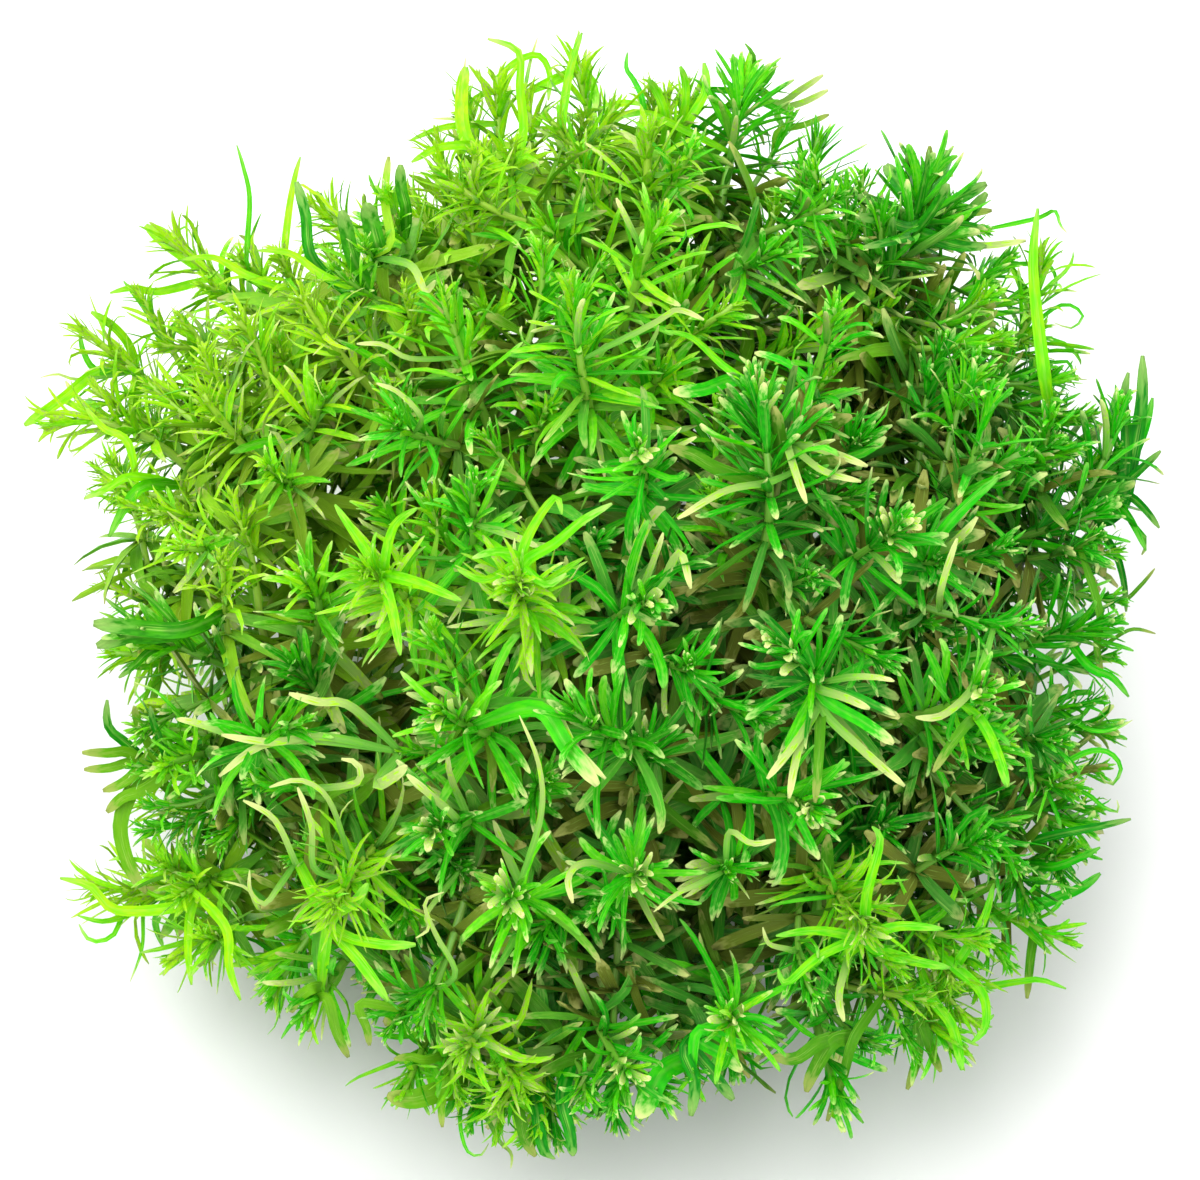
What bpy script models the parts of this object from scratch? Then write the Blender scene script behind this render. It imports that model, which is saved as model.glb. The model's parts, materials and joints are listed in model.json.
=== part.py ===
# A dense bunch of rotala, a water plant with narrow leaves in whorls. It is made of
# cut stems that stand on their cut ends and fan out to a round mound of shoot tips.
# Metres, +Z up. The ground is z = 0, the front faces -Y and the origin is bottom centre.

import math
import random

import bmesh
import bpy
import numpy as np
from mathutils import Matrix, Vector
from mathutils.bvhtree import BVHTree

MM = 0.001

# The mound on which the buds lie: half sizes, and the height of its widest level
MOUND_HALF_WIDTH = 48.0 * MM
MOUND_HALF_DEPTH = 53.0 * MM
MOUND_RISE = 44.0 * MM
MOUND_DROP = 15.0 * MM
WIDEST_LEVEL = 19.0 * MM

# Brings the middle of the whole bunch's box over the origin
BUNCH_OFFSET = Vector((0.6, -0.23, 0.0)) * MM

# The bunch as it is seen from the front and above
SEEN_ELEVATION = math.radians(55.0)
SEEN_DISTANCE = 600.0 * MM
SEEN_MIDDLE = Vector((0.0, 0.0, 24.0 * MM))

# Buds on the side that is seen, in millimetres right of the middle and above it
SEEN_BUDS = {
    "crown_left": (-9, 48),
    "crown_middle": (-2, 50),
    "crown_right": (5, 43),
    "tall_crown": (14, 47),
    "tall_crown_neighbour": (21, 44),
    "upper_right_fan": (30, 39),
    "right_thin": (41, 32),
    "right_outlier": (49, 18),
    "upper_left_back": (-19, 37),
    "upper_left_pointing": (-39, 33),
    "left_upper": (-47, 25),
    "left_outlier": (-50, 16),
    "left_inner": (-36, 19),
    "upper_left_inner": (-27, 28),
    "upper_middle_left": (-14, 28),
    "upper_middle": (-2, 29),
    "upper_middle_right": (6, 35),
    "upper_right_inner": (22, 27),
    "right_of_middle": (16, 18),
    "right_shoulder": (36, 19),
    "middle_rosette": (-11, 11),
    "left_lime_rosette": (-21, 3),
    "middle_lime_rosette": (-7, 2),
    "dark_middle": (5, 0),
    "middle_above": (4, 14),
    "right_deep": (28, 7),
    "right_large": (17, -4),
    "right_lime_bud": (36, -8),
    "right_edge_upper": (46, 8),
    "right_edge": (47, -2),
    "right_edge_lower": (47, -12),
    "lower_middle_left": (-14, -10),
    "lower_middle": (-2, -10),
    "left_lower": (-27, -11),
    "left_edge_upper": (-42, -2),
    "left_edge_lower": (-41, -15),
    "left_low_outlier": (-46, -26),
    "left_low_corner": (-40, -34),
    "lower_left_lime": (-24, -28),
    "lower_left_inner": (-15, -21),
    "bottom_left_inner": (-8, -27),
    "bottom_middle": (4, -25),
    "lower_right_lime": (25, -30),
    "lower_right_inner": (20, -19),
    "lower_right_corner": (35, -31),
    "right_low_edge": (45, -21),
    "right_low_corner": (43, -31),
    "bottom_right_inner": (12, -38),
    "bottom_right_tip": (33, -41),
    "bottom_right": (22, -46),
    "bottom_middle_low": (3, -43),
    "bottom_lobe": (-5, -48),
    "bottom_left": (-12, -41),
    "bottom_left_round": (-19, -46),
    "bottom_far_left": (-27, -38),
}

# Buds on the rest of the mound, spread evenly by the golden angle
BUD_SPACING = 17.5 * MM
HIDDEN_CANDIDATES = 260
LOWEST_BUD_LEVEL = 8.2 * MM
GOLDEN_ANGLE = math.pi * (3.0 - math.sqrt(5.0))

# How the stems stand and bend
FOOT_RADIUS = 20.0 * MM
FOOT_SPACING = 4.4 * MM
FOOT_ROUNDS = 150
UPWARD_LEAN = 0.3
ROOT_STRAIGHT = 0.42
TIP_STRAIGHT = 0.42
CURVE_SAMPLES = 48

# A side shoot leaves its stem part of the way up
FORK_REACH = 17.5 * MM
FORK_LIMIT = 20
FORK_LIFT = 0.6
FORK_NECK = 1.2 * MM

# The stem and its whorls
STEM_RADIUS = 0.7 * MM
WHORL_RADIUS = 0.95 * MM
TIP_RADIUS = 0.65 * MM
STEM_SIDES = 5
STEM_WHORLS = 6
SIDE_SHOOT_WHORLS = 5
WHORL_SPACING = 2.7 * MM
BUD_HEIGHT = 2.2 * MM
FOOT_HEIGHT = 1.0 * MM
BARE_RINGS = 2

# Leaves, from the bud down: length and how far each whorl rises from level
LEAF_LENGTHS = (6.4 * MM, 7.4 * MM, 7.9 * MM, 8.0 * MM, 7.8 * MM, 7.0 * MM)
LEAF_RISES = (66.0, 47.0, 31.0, 18.0, 7.0, -3.0)
LENGTH_VARIATION = 0.14
RISE_VARIATION = 9.0
TURN_VARIATION = 12.0

# Where leaves would cross, they are shortened until they are clear
CLEARANCE = 0.12 * MM
SHORTER = 0.88
SHORTEST_LEAF = 1.2 * MM
CLEARING_ROUNDS = 60

SEED = 11

# Leaf colours, from the young shoots at the upper left to the deep green ones at the right
LEAF_SHADES = {
    "lime": (0.42, 0.72, 0.06),
    "green": (0.13, 0.50, 0.05),
    "deep": (0.04, 0.30, 0.05),
}
LIME_SIDE = 0.35
DEEP_SIDE = -0.25
LEAF_ROUGHNESS = 0.38


def mound_scale(above):
    """The mound's half sizes, above or below its widest level."""
    return Vector((MOUND_HALF_WIDTH, MOUND_HALF_DEPTH, MOUND_RISE if above else MOUND_DROP))


def mound_middle():
    return Vector((0.0, 0.0, WIDEST_LEVEL))


def divided(vector, scale):
    return Vector((vector.x / scale.x, vector.y / scale.y, vector.z / scale.z))


def mound_normal(point):
    """The direction that leaves the mound at a point on or near it."""
    offset = point - mound_middle()
    scale = mound_scale(offset.z >= 0.0)
    return divided(divided(offset, scale), scale).normalized()


def seen_bud(right, up):
    """The point of the mound that is seen at a place, or the nearest one beside it."""
    toward_eye = Vector((0.0, -math.cos(SEEN_ELEVATION), math.sin(SEEN_ELEVATION)))
    seen_up = Vector((0.0, math.sin(SEEN_ELEVATION), math.cos(SEEN_ELEVATION)))
    eye = SEEN_MIDDLE + toward_eye * SEEN_DISTANCE
    target = SEEN_MIDDLE + Vector((right * MM, 0.0, 0.0)) + seen_up * (up * MM)
    ray = (target - eye).normalized()
    for above in (True, False):
        scale = mound_scale(above)
        start = divided(eye - mound_middle(), scale)
        step = divided(ray, scale)
        nearest = -start.dot(step) / step.dot(step)
        miss = (start + step * nearest).length
        into = math.sqrt(max(1.0 - miss * miss, 0.0)) / step.length
        point = eye + ray * (nearest - into)
        if (point.z >= WIDEST_LEVEL) == above:
            break
    return point


def golden_points():
    """Evenly spread points on the whole mound, from the crown down."""
    points = []
    for index in range(HIDDEN_CANDIDATES):
        height = 1.0 - 2.0 * (index + 0.5) / HIDDEN_CANDIDATES
        around = math.sqrt(1.0 - height * height)
        angle = index * GOLDEN_ANGLE
        direction = Vector((around * math.cos(angle), around * math.sin(angle), height))
        scale = mound_scale(height >= 0.0)
        point = mound_middle() + Vector(a * b for a, b in zip(direction, scale))
        if point.z >= LOWEST_BUD_LEVEL:
            points.append(point)
    return points


def bud_points():
    """All buds: those that are seen, then fillers wherever the mound is still open."""
    buds = [seen_bud(right, up) for right, up in SEEN_BUDS.values()]
    for point in golden_points():
        if all((point - bud).length > BUD_SPACING for bud in buds):
            buds.append(point)
    return buds


def pair_buds(buds):
    """Pairs of near buds share a forked stem. Returns (stem bud, side bud or None)."""
    gaps = []
    for first in range(len(buds)):
        for second in range(first + 1, len(buds)):
            gap = (buds[first] - buds[second]).length
            if gap < FORK_REACH:
                gaps.append((gap, first, second))
    partner = {}
    for gap, first, second in sorted(gaps):
        if first not in partner and second not in partner and len(partner) < 2 * FORK_LIMIT:
            partner[first] = second
            partner[second] = first
    stems = []
    for index, bud in enumerate(buds):
        other = partner.get(index)
        if other is None:
            stems.append((bud, None))
        elif index < other:
            stems.append((bud, buds[other]))
    return stems


def growth_direction(bud):
    return (mound_normal(bud) + Vector((0.0, 0.0, UPWARD_LEAN))).normalized()


def foot_points(stems):
    """Cut ends on the ground: crown stems in the middle, rim stems outside, none too near."""
    offsets = [divided(bud - mound_middle(), mound_scale(bud.z >= WIDEST_LEVEL)) for bud, _ in stems]
    order = sorted(range(len(stems)), key=lambda index: -offsets[index].normalized().z)
    feet = [None] * len(stems)
    for rank, index in enumerate(order):
        flat = Vector((offsets[index].x, offsets[index].y)).normalized()
        feet[index] = flat * (FOOT_RADIUS * math.sqrt((rank + 0.5) / len(stems)))
    for _ in range(FOOT_ROUNDS):
        for first in range(len(feet)):
            for second in range(first + 1, len(feet)):
                apart = feet[first] - feet[second]
                short = FOOT_SPACING - apart.length
                if short > 0.0:
                    push = apart.normalized() * (0.5 * short)
                    feet[first] += push
                    feet[second] -= push
    return [Vector((foot.x, foot.y, 0.0)) for foot in feet]


def bezier(points, place):
    """A point of the cubic curve through four control points."""
    rest = 1.0 - place
    weights = (rest ** 3, 3.0 * rest * rest * place, 3.0 * rest * place * place, place ** 3)
    total = Vector((0.0, 0.0, 0.0))
    for weight, point in zip(weights, points):
        total += point * weight
    return total


def curve_samples(start, start_direction, end, end_direction):
    """A smooth curve between two points that leaves and arrives in given directions."""
    span = (end - start).length
    controls = (
        start,
        start + start_direction * (span * ROOT_STRAIGHT),
        end - end_direction * (span * TIP_STRAIGHT),
        end,
    )
    return [bezier(controls, index / CURVE_SAMPLES) for index in range(CURVE_SAMPLES + 1)]


class Path:
    """A sampled curve that is read by length, with a frame that doesn't twist."""

    def __init__(self, samples):
        self.samples = samples
        self.lengths = [0.0]
        for before, after in zip(samples, samples[1:]):
            self.lengths.append(self.lengths[-1] + (after - before).length)
        self.total = self.lengths[-1]
        self.directions = self.sample_directions()
        self.sides = self.untwisted_sides()

    def sample_directions(self):
        last = len(self.samples) - 1
        directions = []
        for index in range(last + 1):
            before = self.samples[max(index - 1, 0)]
            after = self.samples[min(index + 1, last)]
            directions.append((after - before).normalized())
        return directions

    def untwisted_sides(self):
        side = self.directions[0].orthogonal().normalized()
        sides = []
        for direction in self.directions:
            side = (side - direction * side.dot(direction)).normalized()
            sides.append(side)
        return sides

    def frame(self, length):
        """Position, direction and side vector at a length from the start."""
        length = max(0.0, min(self.total, length))
        index = 0
        while index < len(self.lengths) - 2 and self.lengths[index + 1] < length:
            index += 1
        span = self.lengths[index + 1] - self.lengths[index]
        part = (length - self.lengths[index]) / span
        point = self.samples[index].lerp(self.samples[index + 1], part)
        direction = self.directions[index].lerp(self.directions[index + 1], part).normalized()
        side = self.sides[index].lerp(self.sides[index + 1], part)
        side = (side - direction * side.dot(direction)).normalized()
        return point, direction, side


class Shoot:
    """A mesh that is grown ring by ring, with leaves that are raised from its sides."""

    def __init__(self, foot, shade):
        self.mesh = bmesh.new()
        self.leaves = []
        self.foot_point = foot
        self.shade = shade

    def foot(self, path, radius):
        """The cut end and the first short stretch of the stem, as a closed cone."""
        height = FOOT_HEIGHT
        cone = bmesh.ops.create_cone(
            self.mesh, cap_ends=True, segments=STEM_SIDES, radius1=radius, radius2=radius, depth=height
        )
        lift = path.samples[0] + Vector((0.0, 0.0, 0.5 * height))
        bmesh.ops.translate(self.mesh, verts=cone["verts"], vec=lift)
        return max(self.mesh.faces, key=lambda face: face.calc_center_median().z)

    def extend(self, face, frame, radius, twist):
        """Pushes an end face on to the next ring. Returns the new end and the side faces."""
        point, direction, side = frame
        across = direction.cross(side)
        start = face.loops[0].vert.co - face.calc_center_median()
        angle = math.atan2(start.dot(across), start.dot(side)) + twist
        grown = bmesh.ops.extrude_discrete_faces(self.mesh, faces=[face])["faces"][0]
        turn = 2.0 * math.pi / len(grown.verts)
        for index, loop in enumerate(grown.loops):
            around = angle + index * turn
            loop.vert.co = point + (side * math.cos(around) + across * math.sin(around)) * radius
        grown.normal_update()
        sides = [loop.link_loop_radial_next.face for loop in grown.loops]
        return grown, sides

    def raise_leaf(self, face, middle, direction, order, draw):
        """Pulls the centre of a side face out to a leaf tip."""
        length = LEAF_LENGTHS[order] * draw.uniform(1.0 - LENGTH_VARIATION, 1.0 + LENGTH_VARIATION)
        rise = math.radians(LEAF_RISES[order] + draw.uniform(-RISE_VARIATION, RISE_VARIATION))
        turn = math.radians(draw.uniform(-TURN_VARIATION, TURN_VARIATION))
        base = face.calc_center_median()
        out = base - middle
        out = (out - direction * out.dot(direction)).normalized()
        along = out * math.cos(rise) + direction * math.sin(rise)
        along = Matrix.Rotation(turn, 3, direction) @ along
        tip = bmesh.ops.poke(self.mesh, faces=[face])["verts"][0]
        self.leaves.append(Leaf(tip, base, along, length))

    def whorl(self, face, path, place, radius, order, draw):
        """One more ring, half a side further round, with every side drawn out into a leaf."""
        half_side = math.pi / len(face.verts)
        face, sides = self.extend(face, path.frame(place + WHORL_SPACING), radius, half_side)
        middle, direction, _ = path.frame(place + 0.5 * WHORL_SPACING)
        for side in sides:
            self.raise_leaf(side, middle, direction, order, draw)
        return face

    def leafy_end(self, face, path, whorls, draw):
        """The whorls from the lowest up, and the pointed bud at the end of the path."""
        start = path.total - leafy_length(whorls)
        face, _ = self.extend(face, path.frame(start), WHORL_RADIUS, 0.0)
        for index in range(whorls):
            part = (index + 1) / whorls
            radius = WHORL_RADIUS + (TIP_RADIUS - WHORL_RADIUS) * part
            place = start + index * WHORL_SPACING
            face = self.whorl(face, path, place, radius, whorls - 1 - index, draw)
        bud = bmesh.ops.poke(self.mesh, faces=[face])
        bud["verts"][0].co = path.frame(path.total)[0]

    def bare_stretch(self, face, path, end):
        """Plain rings from the foot to a length. Returns the end face and its ring's sides."""
        for index in range(BARE_RINGS):
            part = (index + 1) / (BARE_RINGS + 1)
            place = FOOT_HEIGHT + (end - FOOT_HEIGHT) * part
            face, sides = self.extend(face, path.frame(place), STEM_RADIUS, 0.0)
        return face, sides


class Leaf:
    """A leaf tip that can be drawn back along its own direction."""

    def __init__(self, tip, base, along, length):
        self.tip = tip
        self.base = base
        self.along = along
        self.length = length
        self.place()

    def place(self):
        point = self.base + self.along * self.length
        point.z = max(point.z, 0.0)
        self.tip.co = point

    def shorten(self):
        self.length = max(self.length * SHORTER, SHORTEST_LEAF)
        self.place()


def leafy_length(whorls):
    return BUD_HEIGHT + whorls * WHORL_SPACING


def nearest_side(sides, target):
    """The side face that looks most toward a point."""
    for face in sides:
        face.normal_update()
    return max(sides, key=lambda face: face.normal.dot((target - face.calc_center_median()).normalized()))


def grow_stem(foot, bud, side_bud, draw):
    """One stem as a closed mesh, with its side shoot where it has one."""
    shoot = Shoot(foot, shade_of(bud))
    path = Path(curve_samples(foot, Vector((0.0, 0.0, 1.0)), bud, growth_direction(bud)))
    face = shoot.foot(path, STEM_RADIUS)
    leafy_start = path.total - leafy_length(STEM_WHORLS)
    face, last_sides = shoot.bare_stretch(face, path, leafy_start)
    fork_face = nearest_side(last_sides, side_bud) if side_bud else None
    shoot.leafy_end(face, path, STEM_WHORLS, draw)
    if fork_face:
        grow_side_shoot(shoot, fork_face, side_bud, draw)
    return shoot


def grow_side_shoot(shoot, fork_face, side_bud, draw):
    """A thinner shoot from one side face of the stem."""
    fork_face.normal_update()
    start = fork_face.calc_center_median()
    out = (fork_face.normal + Vector((0.0, 0.0, FORK_LIFT))).normalized()
    path = Path(curve_samples(start, out, side_bud, growth_direction(side_bud)))
    face, _ = shoot.extend(fork_face, path.frame(FORK_NECK), TIP_RADIUS, 0.0)
    shoot.leafy_end(face, path, SIDE_SHOOT_WHORLS, draw)


def build_shoots():
    """Every stem of the bunch, with leaves at their full length."""
    draw = random.Random(SEED)
    stems = pair_buds(bud_points())
    feet = foot_points(stems)
    return [grow_stem(foot, bud, side_bud, draw) for foot, (bud, side_bud) in zip(feet, stems)]


def leaf_of_faces(shoot):
    """For each face, the leaf whose tip it meets, or None on the stem."""
    tips = {leaf.tip.index: leaf for leaf in shoot.leaves}
    owners = []
    for face in shoot.mesh.faces:
        owner = None
        for vert in face.verts:
            owner = tips.get(vert.index, owner)
        owners.append(owner)
    return owners


def swollen_tree(shoot):
    """A search tree of the shoot's faces, a little fatter than they are."""
    shoot.mesh.normal_update()
    points = [vert.co + vert.normal * CLEARANCE for vert in shoot.mesh.verts]
    faces = [[vert.index for vert in face.verts] for face in shoot.mesh.faces]
    return BVHTree.FromPolygons(points, faces)


def near_pairs(shoots):
    """Pairs of shoots whose boxes meet."""
    boxes = []
    for shoot in shoots:
        points = np.array([vert.co for vert in shoot.mesh.verts])
        boxes.append((points.min(axis=0) - CLEARANCE, points.max(axis=0) + CLEARANCE))
    pairs = []
    for first in range(len(shoots)):
        for second in range(first + 1, len(shoots)):
            low = np.maximum(boxes[first][0], boxes[second][0])
            high = np.minimum(boxes[first][1], boxes[second][1])
            if np.all(low < high):
                pairs.append((first, second))
    return pairs


def own_crossings(shoot, tree):
    """Pairs of faces of one shoot that cross without sharing a corner."""
    corners = [set(vert.index for vert in face.verts) for face in shoot.mesh.faces]
    pairs = []
    for first, second in tree.overlap(tree):
        if first < second and not corners[first] & corners[second]:
            pairs.append((first, second))
    return pairs


def clear_crossings(shoots):
    """Shortens leaves until no shoot meets another or itself. Returns what is left."""
    for shoot in shoots:
        shoot.mesh.verts.ensure_lookup_table()
        shoot.mesh.verts.index_update()
        shoot.mesh.faces.ensure_lookup_table()
        shoot.mesh.faces.index_update()
    owners = [leaf_of_faces(shoot) for shoot in shoots]
    pairs = near_pairs(shoots)
    left = 0
    for _ in range(CLEARING_ROUNDS):
        trees = [swollen_tree(shoot) for shoot in shoots]
        crossing = []
        left = 0
        for first, second in pairs:
            for face_a, face_b in trees[first].overlap(trees[second]):
                left += 1
                crossing.extend((owners[first][face_a], owners[second][face_b]))
        for index, shoot in enumerate(shoots):
            for face_a, face_b in own_crossings(shoot, trees[index]):
                left += 1
                crossing.extend((owners[index][face_a], owners[index][face_b]))
        if not left:
            break
        for leaf in {id(leaf): leaf for leaf in crossing if leaf is not None}.values():
            leaf.shorten()
    return left


def shade_of(bud):
    """Lime where the bunch is young, at the back and left, and deep green at the right."""
    youth = 0.5 * bud.y / MOUND_HALF_DEPTH - 0.8 * bud.x / MOUND_HALF_WIDTH
    if youth > LIME_SIDE:
        return "lime"
    if youth < DEEP_SIDE:
        return "deep"
    return "green"


def leaf_material(name, colour):
    material = bpy.data.materials.new(name)
    material.use_nodes = True
    shader = material.node_tree.nodes["Principled BSDF"]
    shader.inputs["Base Color"].default_value = (*colour, 1.0)
    shader.inputs["Roughness"].default_value = LEAF_ROUGHNESS
    shader.inputs["Metallic"].default_value = 0.0
    material.diffuse_color = (*colour, 1.0)
    return material


def place_stem(number, shoot, collection):
    """Makes a grown shoot an object with its origin at its cut end and a leaf material."""
    name = f"stem_{number:02d}"
    mesh = bpy.data.meshes.new(name)
    bmesh.ops.triangulate(shoot.mesh, faces=shoot.mesh.faces[:])
    bmesh.ops.translate(shoot.mesh, verts=shoot.mesh.verts[:], vec=-shoot.foot_point)
    shoot.mesh.to_mesh(mesh)
    shoot.mesh.free()
    mesh.materials.append(leaf_material(f"{name}_{shoot.shade}_leaf", LEAF_SHADES[shoot.shade]))
    stem = bpy.data.objects.new(name, mesh)
    stem.location = shoot.foot_point + BUNCH_OFFSET
    collection.objects.link(stem)


def clear_scene():
    for item in list(bpy.data.objects):
        bpy.data.objects.remove(item, do_unlink=True)


def main():
    clear_scene()
    collection = bpy.data.collections.new("rotala_bunch")
    bpy.context.scene.collection.children.link(collection)
    shoots = build_shoots()
    left = clear_crossings(shoots)
    print("stems", len(shoots), "crossings left", left)
    for index, shoot in enumerate(shoots):
        place_stem(index + 1, shoot, collection)


main()
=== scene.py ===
import json
import math
import random

import bpy
import numpy as np
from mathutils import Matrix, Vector


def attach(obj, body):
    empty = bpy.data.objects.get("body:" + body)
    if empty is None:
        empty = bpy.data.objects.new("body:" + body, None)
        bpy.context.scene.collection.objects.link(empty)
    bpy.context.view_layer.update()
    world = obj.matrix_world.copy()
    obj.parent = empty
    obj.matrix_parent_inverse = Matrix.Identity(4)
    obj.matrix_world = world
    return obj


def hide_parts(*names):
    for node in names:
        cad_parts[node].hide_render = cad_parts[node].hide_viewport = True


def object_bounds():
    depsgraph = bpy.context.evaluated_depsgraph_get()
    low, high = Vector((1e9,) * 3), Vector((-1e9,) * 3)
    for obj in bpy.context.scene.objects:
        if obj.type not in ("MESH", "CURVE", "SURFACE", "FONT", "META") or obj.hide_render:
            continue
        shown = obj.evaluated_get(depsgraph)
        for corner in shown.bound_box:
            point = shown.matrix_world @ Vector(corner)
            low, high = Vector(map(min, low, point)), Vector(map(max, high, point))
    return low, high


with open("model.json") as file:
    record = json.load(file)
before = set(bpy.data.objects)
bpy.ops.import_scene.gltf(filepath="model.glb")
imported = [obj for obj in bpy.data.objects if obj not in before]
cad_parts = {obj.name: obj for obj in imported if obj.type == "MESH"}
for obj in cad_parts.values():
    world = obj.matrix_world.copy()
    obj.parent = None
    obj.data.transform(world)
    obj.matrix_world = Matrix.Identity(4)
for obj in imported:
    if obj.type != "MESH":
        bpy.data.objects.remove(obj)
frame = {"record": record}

CAD_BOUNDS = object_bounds()

MM = 0.001
SEED = 7
UPWARD = Vector((0.0, 0.0, 1.0))

# The mound on which the buds lie, two half ellipsoids that meet at its widest level, and how far
# the whole bunch stands from it
MOUND_HALF_WIDTH = 48.0 * MM
MOUND_HALF_DEPTH = 53.0 * MM
MOUND_RISE = 44.0 * MM
MOUND_DROP = 15.0 * MM
WIDEST_LEVEL = 19.0 * MM
MOUND_MIDDLE = Vector((0.0, 0.0, WIDEST_LEVEL))
BUNCH_OFFSET = Vector((0.6, -0.23, 0.0)) * MM

# The bunch as it is seen from the front and above
SEEN_ELEVATION = math.radians(55.0)
TOWARD_EYE = Vector((0.0, -math.cos(SEEN_ELEVATION), math.sin(SEEN_ELEVATION)))
SEEN_UP = Vector((0.0, math.sin(SEEN_ELEVATION), math.cos(SEEN_ELEVATION)))
SEEN_DISTANCE = 600.0 * MM
SEEN_MIDDLE = Vector((0.0, 0.0, 24.0 * MM))
EYE = SEEN_MIDDLE + TOWARD_EYE * SEEN_DISTANCE
SENSOR_WIDTH = 36.0
PICTURE_WIDTH = 110.04 * MM
PICTURE_CENTRE = (0.46 * MM, 1.01 * MM)

# Kinds of shoot. tone runs from 0, yellow lime, to 1, deep green; length and width are shares;
# point runs from 0, a blunt leaf, to 1, a pointed one; bend is how far a leaf turns back over
# its length and sway how far it strays, in degrees; loose is how unevenly a whorl stands
KIND_KEYS = ("tone", "length", "width", "point", "bend", "sway", "loose")
KIND_ROWS = {
    "lime": (0.18, 1.00, 0.98, 0.80, -26.0, 28.0, 1.15),
    "fresh": (0.34, 1.00, 0.94, 0.50, -18.0, 26.0, 1.25),
    "green": (0.50, 1.00, 0.88, 0.30, -13.0, 23.0, 1.25),
    "deep": (0.68, 1.06, 0.96, 0.18, -10.0, 19.0, 1.1),
    "dull": (0.58, 0.98, 0.86, 0.30, -22.0, 30.0, 1.5),
    "shade": (0.88, 1.00, 0.95, 0.25, -18.0, 28.0, 1.4),
    "needle": (0.54, 0.90, 0.80, 0.45, -14.0, 14.0, 0.6),
    "yellow": (0.12, 1.00, 0.78, 0.85, -24.0, 34.0, 1.3),
}
KINDS = {name: dict(zip(KIND_KEYS, row)) for name, row in KIND_ROWS.items()}

# Buds on the side that is seen: millimetres right of the middle and above it, and kind
SEEN_BUDS = {
    "crown_left": (-9, 48, "lime"),
    "crown_middle": (-2, 50, "lime"),
    "crown_right": (5, 43, "lime"),
    "tall_crown": (14, 47, "needle"),
    "tall_crown_neighbour": (21, 44, "needle"),
    "upper_right_fan": (30, 39, "deep"),
    "right_thin": (41, 32, "lime"),
    "right_outlier": (49, 18, "deep"),
    "upper_left_back": (-19, 37, "green"),
    "upper_left_pointing": (-39, 33, "lime"),
    "left_upper": (-47, 25, "yellow"),
    "left_outlier": (-50, 16, "lime"),
    "left_inner": (-36, 19, "yellow"),
    "upper_left_inner": (-27, 28, "yellow"),
    "upper_middle_left": (-14, 28, "fresh"),
    "upper_middle": (-2, 29, "fresh"),
    "upper_middle_right": (6, 35, "fresh"),
    "upper_right_inner": (22, 27, "green"),
    "right_of_middle": (16, 18, "deep"),
    "right_shoulder": (36, 19, "green"),
    "middle_rosette": (-11, 11, "green"),
    "left_lime_rosette": (-21, 3, "lime"),
    "middle_lime_rosette": (-7, 2, "lime"),
    "dark_middle": (5, 0, "deep"),
    "middle_above": (4, 14, "green"),
    "right_deep": (28, 7, "deep"),
    "right_large": (17, -4, "deep"),
    "right_lime_bud": (36, -8, "green"),
    "right_edge_upper": (46, 8, "deep"),
    "right_edge": (47, -2, "deep"),
    "right_edge_lower": (47, -12, "green"),
    "lower_middle_left": (-14, -10, "green"),
    "lower_middle": (-2, -10, "deep"),
    "left_lower": (-27, -11, "dull"),
    "left_edge_upper": (-42, -2, "deep"),
    "left_edge_lower": (-41, -15, "dull"),
    "left_low_outlier": (-46, -26, "yellow"),
    "left_low_corner": (-40, -34, "fresh"),
    "lower_left_lime": (-24, -28, "yellow"),
    "lower_left_inner": (-15, -21, "deep"),
    "bottom_left_inner": (-8, -27, "green"),
    "bottom_middle": (4, -25, "green"),
    "lower_right_lime": (25, -30, "yellow"),
    "lower_right_inner": (20, -19, "deep"),
    "lower_right_corner": (35, -31, "fresh"),
    "right_low_edge": (45, -21, "green"),
    "right_low_corner": (43, -31, "fresh"),
    "bottom_right_inner": (12, -38, "green"),
    "bottom_right_tip": (33, -41, "fresh"),
    "bottom_right": (22, -46, "dull"),
    "bottom_middle_low": (3, -43, "green"),
    "bottom_lobe": (-5, -48, "lime"),
    "bottom_left": (-12, -41, "lime"),
    "bottom_left_round": (-19, -46, "fresh"),
    "bottom_far_left": (-27, -38, "green"),
}

# How far the leafy end of a bud's shoot stands from its solid: right and up, in millimetres
SEEN_SHIFTS = {
    "right_outlier": (-1, 0),
    "tall_crown": (-0.2, 1.5),
    "tall_crown_neighbour": (-0.5, -1.5),
    "right_of_middle": (-1.5, 2),
    "bottom_left_round": (1.5, 1),
    "left_low_corner": (1.5, 1.5),
    "left_edge_lower": (1.5, 0),
}

# Shoots that lean otherwise than the mound: to the right, up in the view and toward the eye
SEEN_LEANS = {
    "right_thin": (-0.05, 1.0, 0.1),
    "right_outlier": (0.10, 1.0, 0.1),
    "crown_left": (-0.1, 1.0, 0.2),
    "crown_middle": (0.05, 1.0, 0.2),
    "middle_rosette": (0.05, 0.7, 0.7),
    "upper_middle_left": (-0.3, 0.9, 0.4),
    "upper_middle_right": (0.2, 0.9, 0.5),
    "right_shoulder": (0.3, 0.9, 0.3),
    "left_low_outlier": (-1.0, 0.35, 0.1),
    "left_edge_upper": (-0.8, 0.5, 0.3),
    "upper_left_pointing": (-0.8, 0.6, 0.2),
    "left_outlier": (-1.0, -0.3, 0.1),
    "right_large": (-0.45, 0.45, 0.75),
    "bottom_right": (0.2, -0.6, 0.5),
    "bottom_right_inner": (-0.2, 0.3, 0.9),
    "lower_middle": (-0.4, 0.6, 0.7),
    "left_lower": (0.5, 0.3, 0.8),
}

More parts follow.
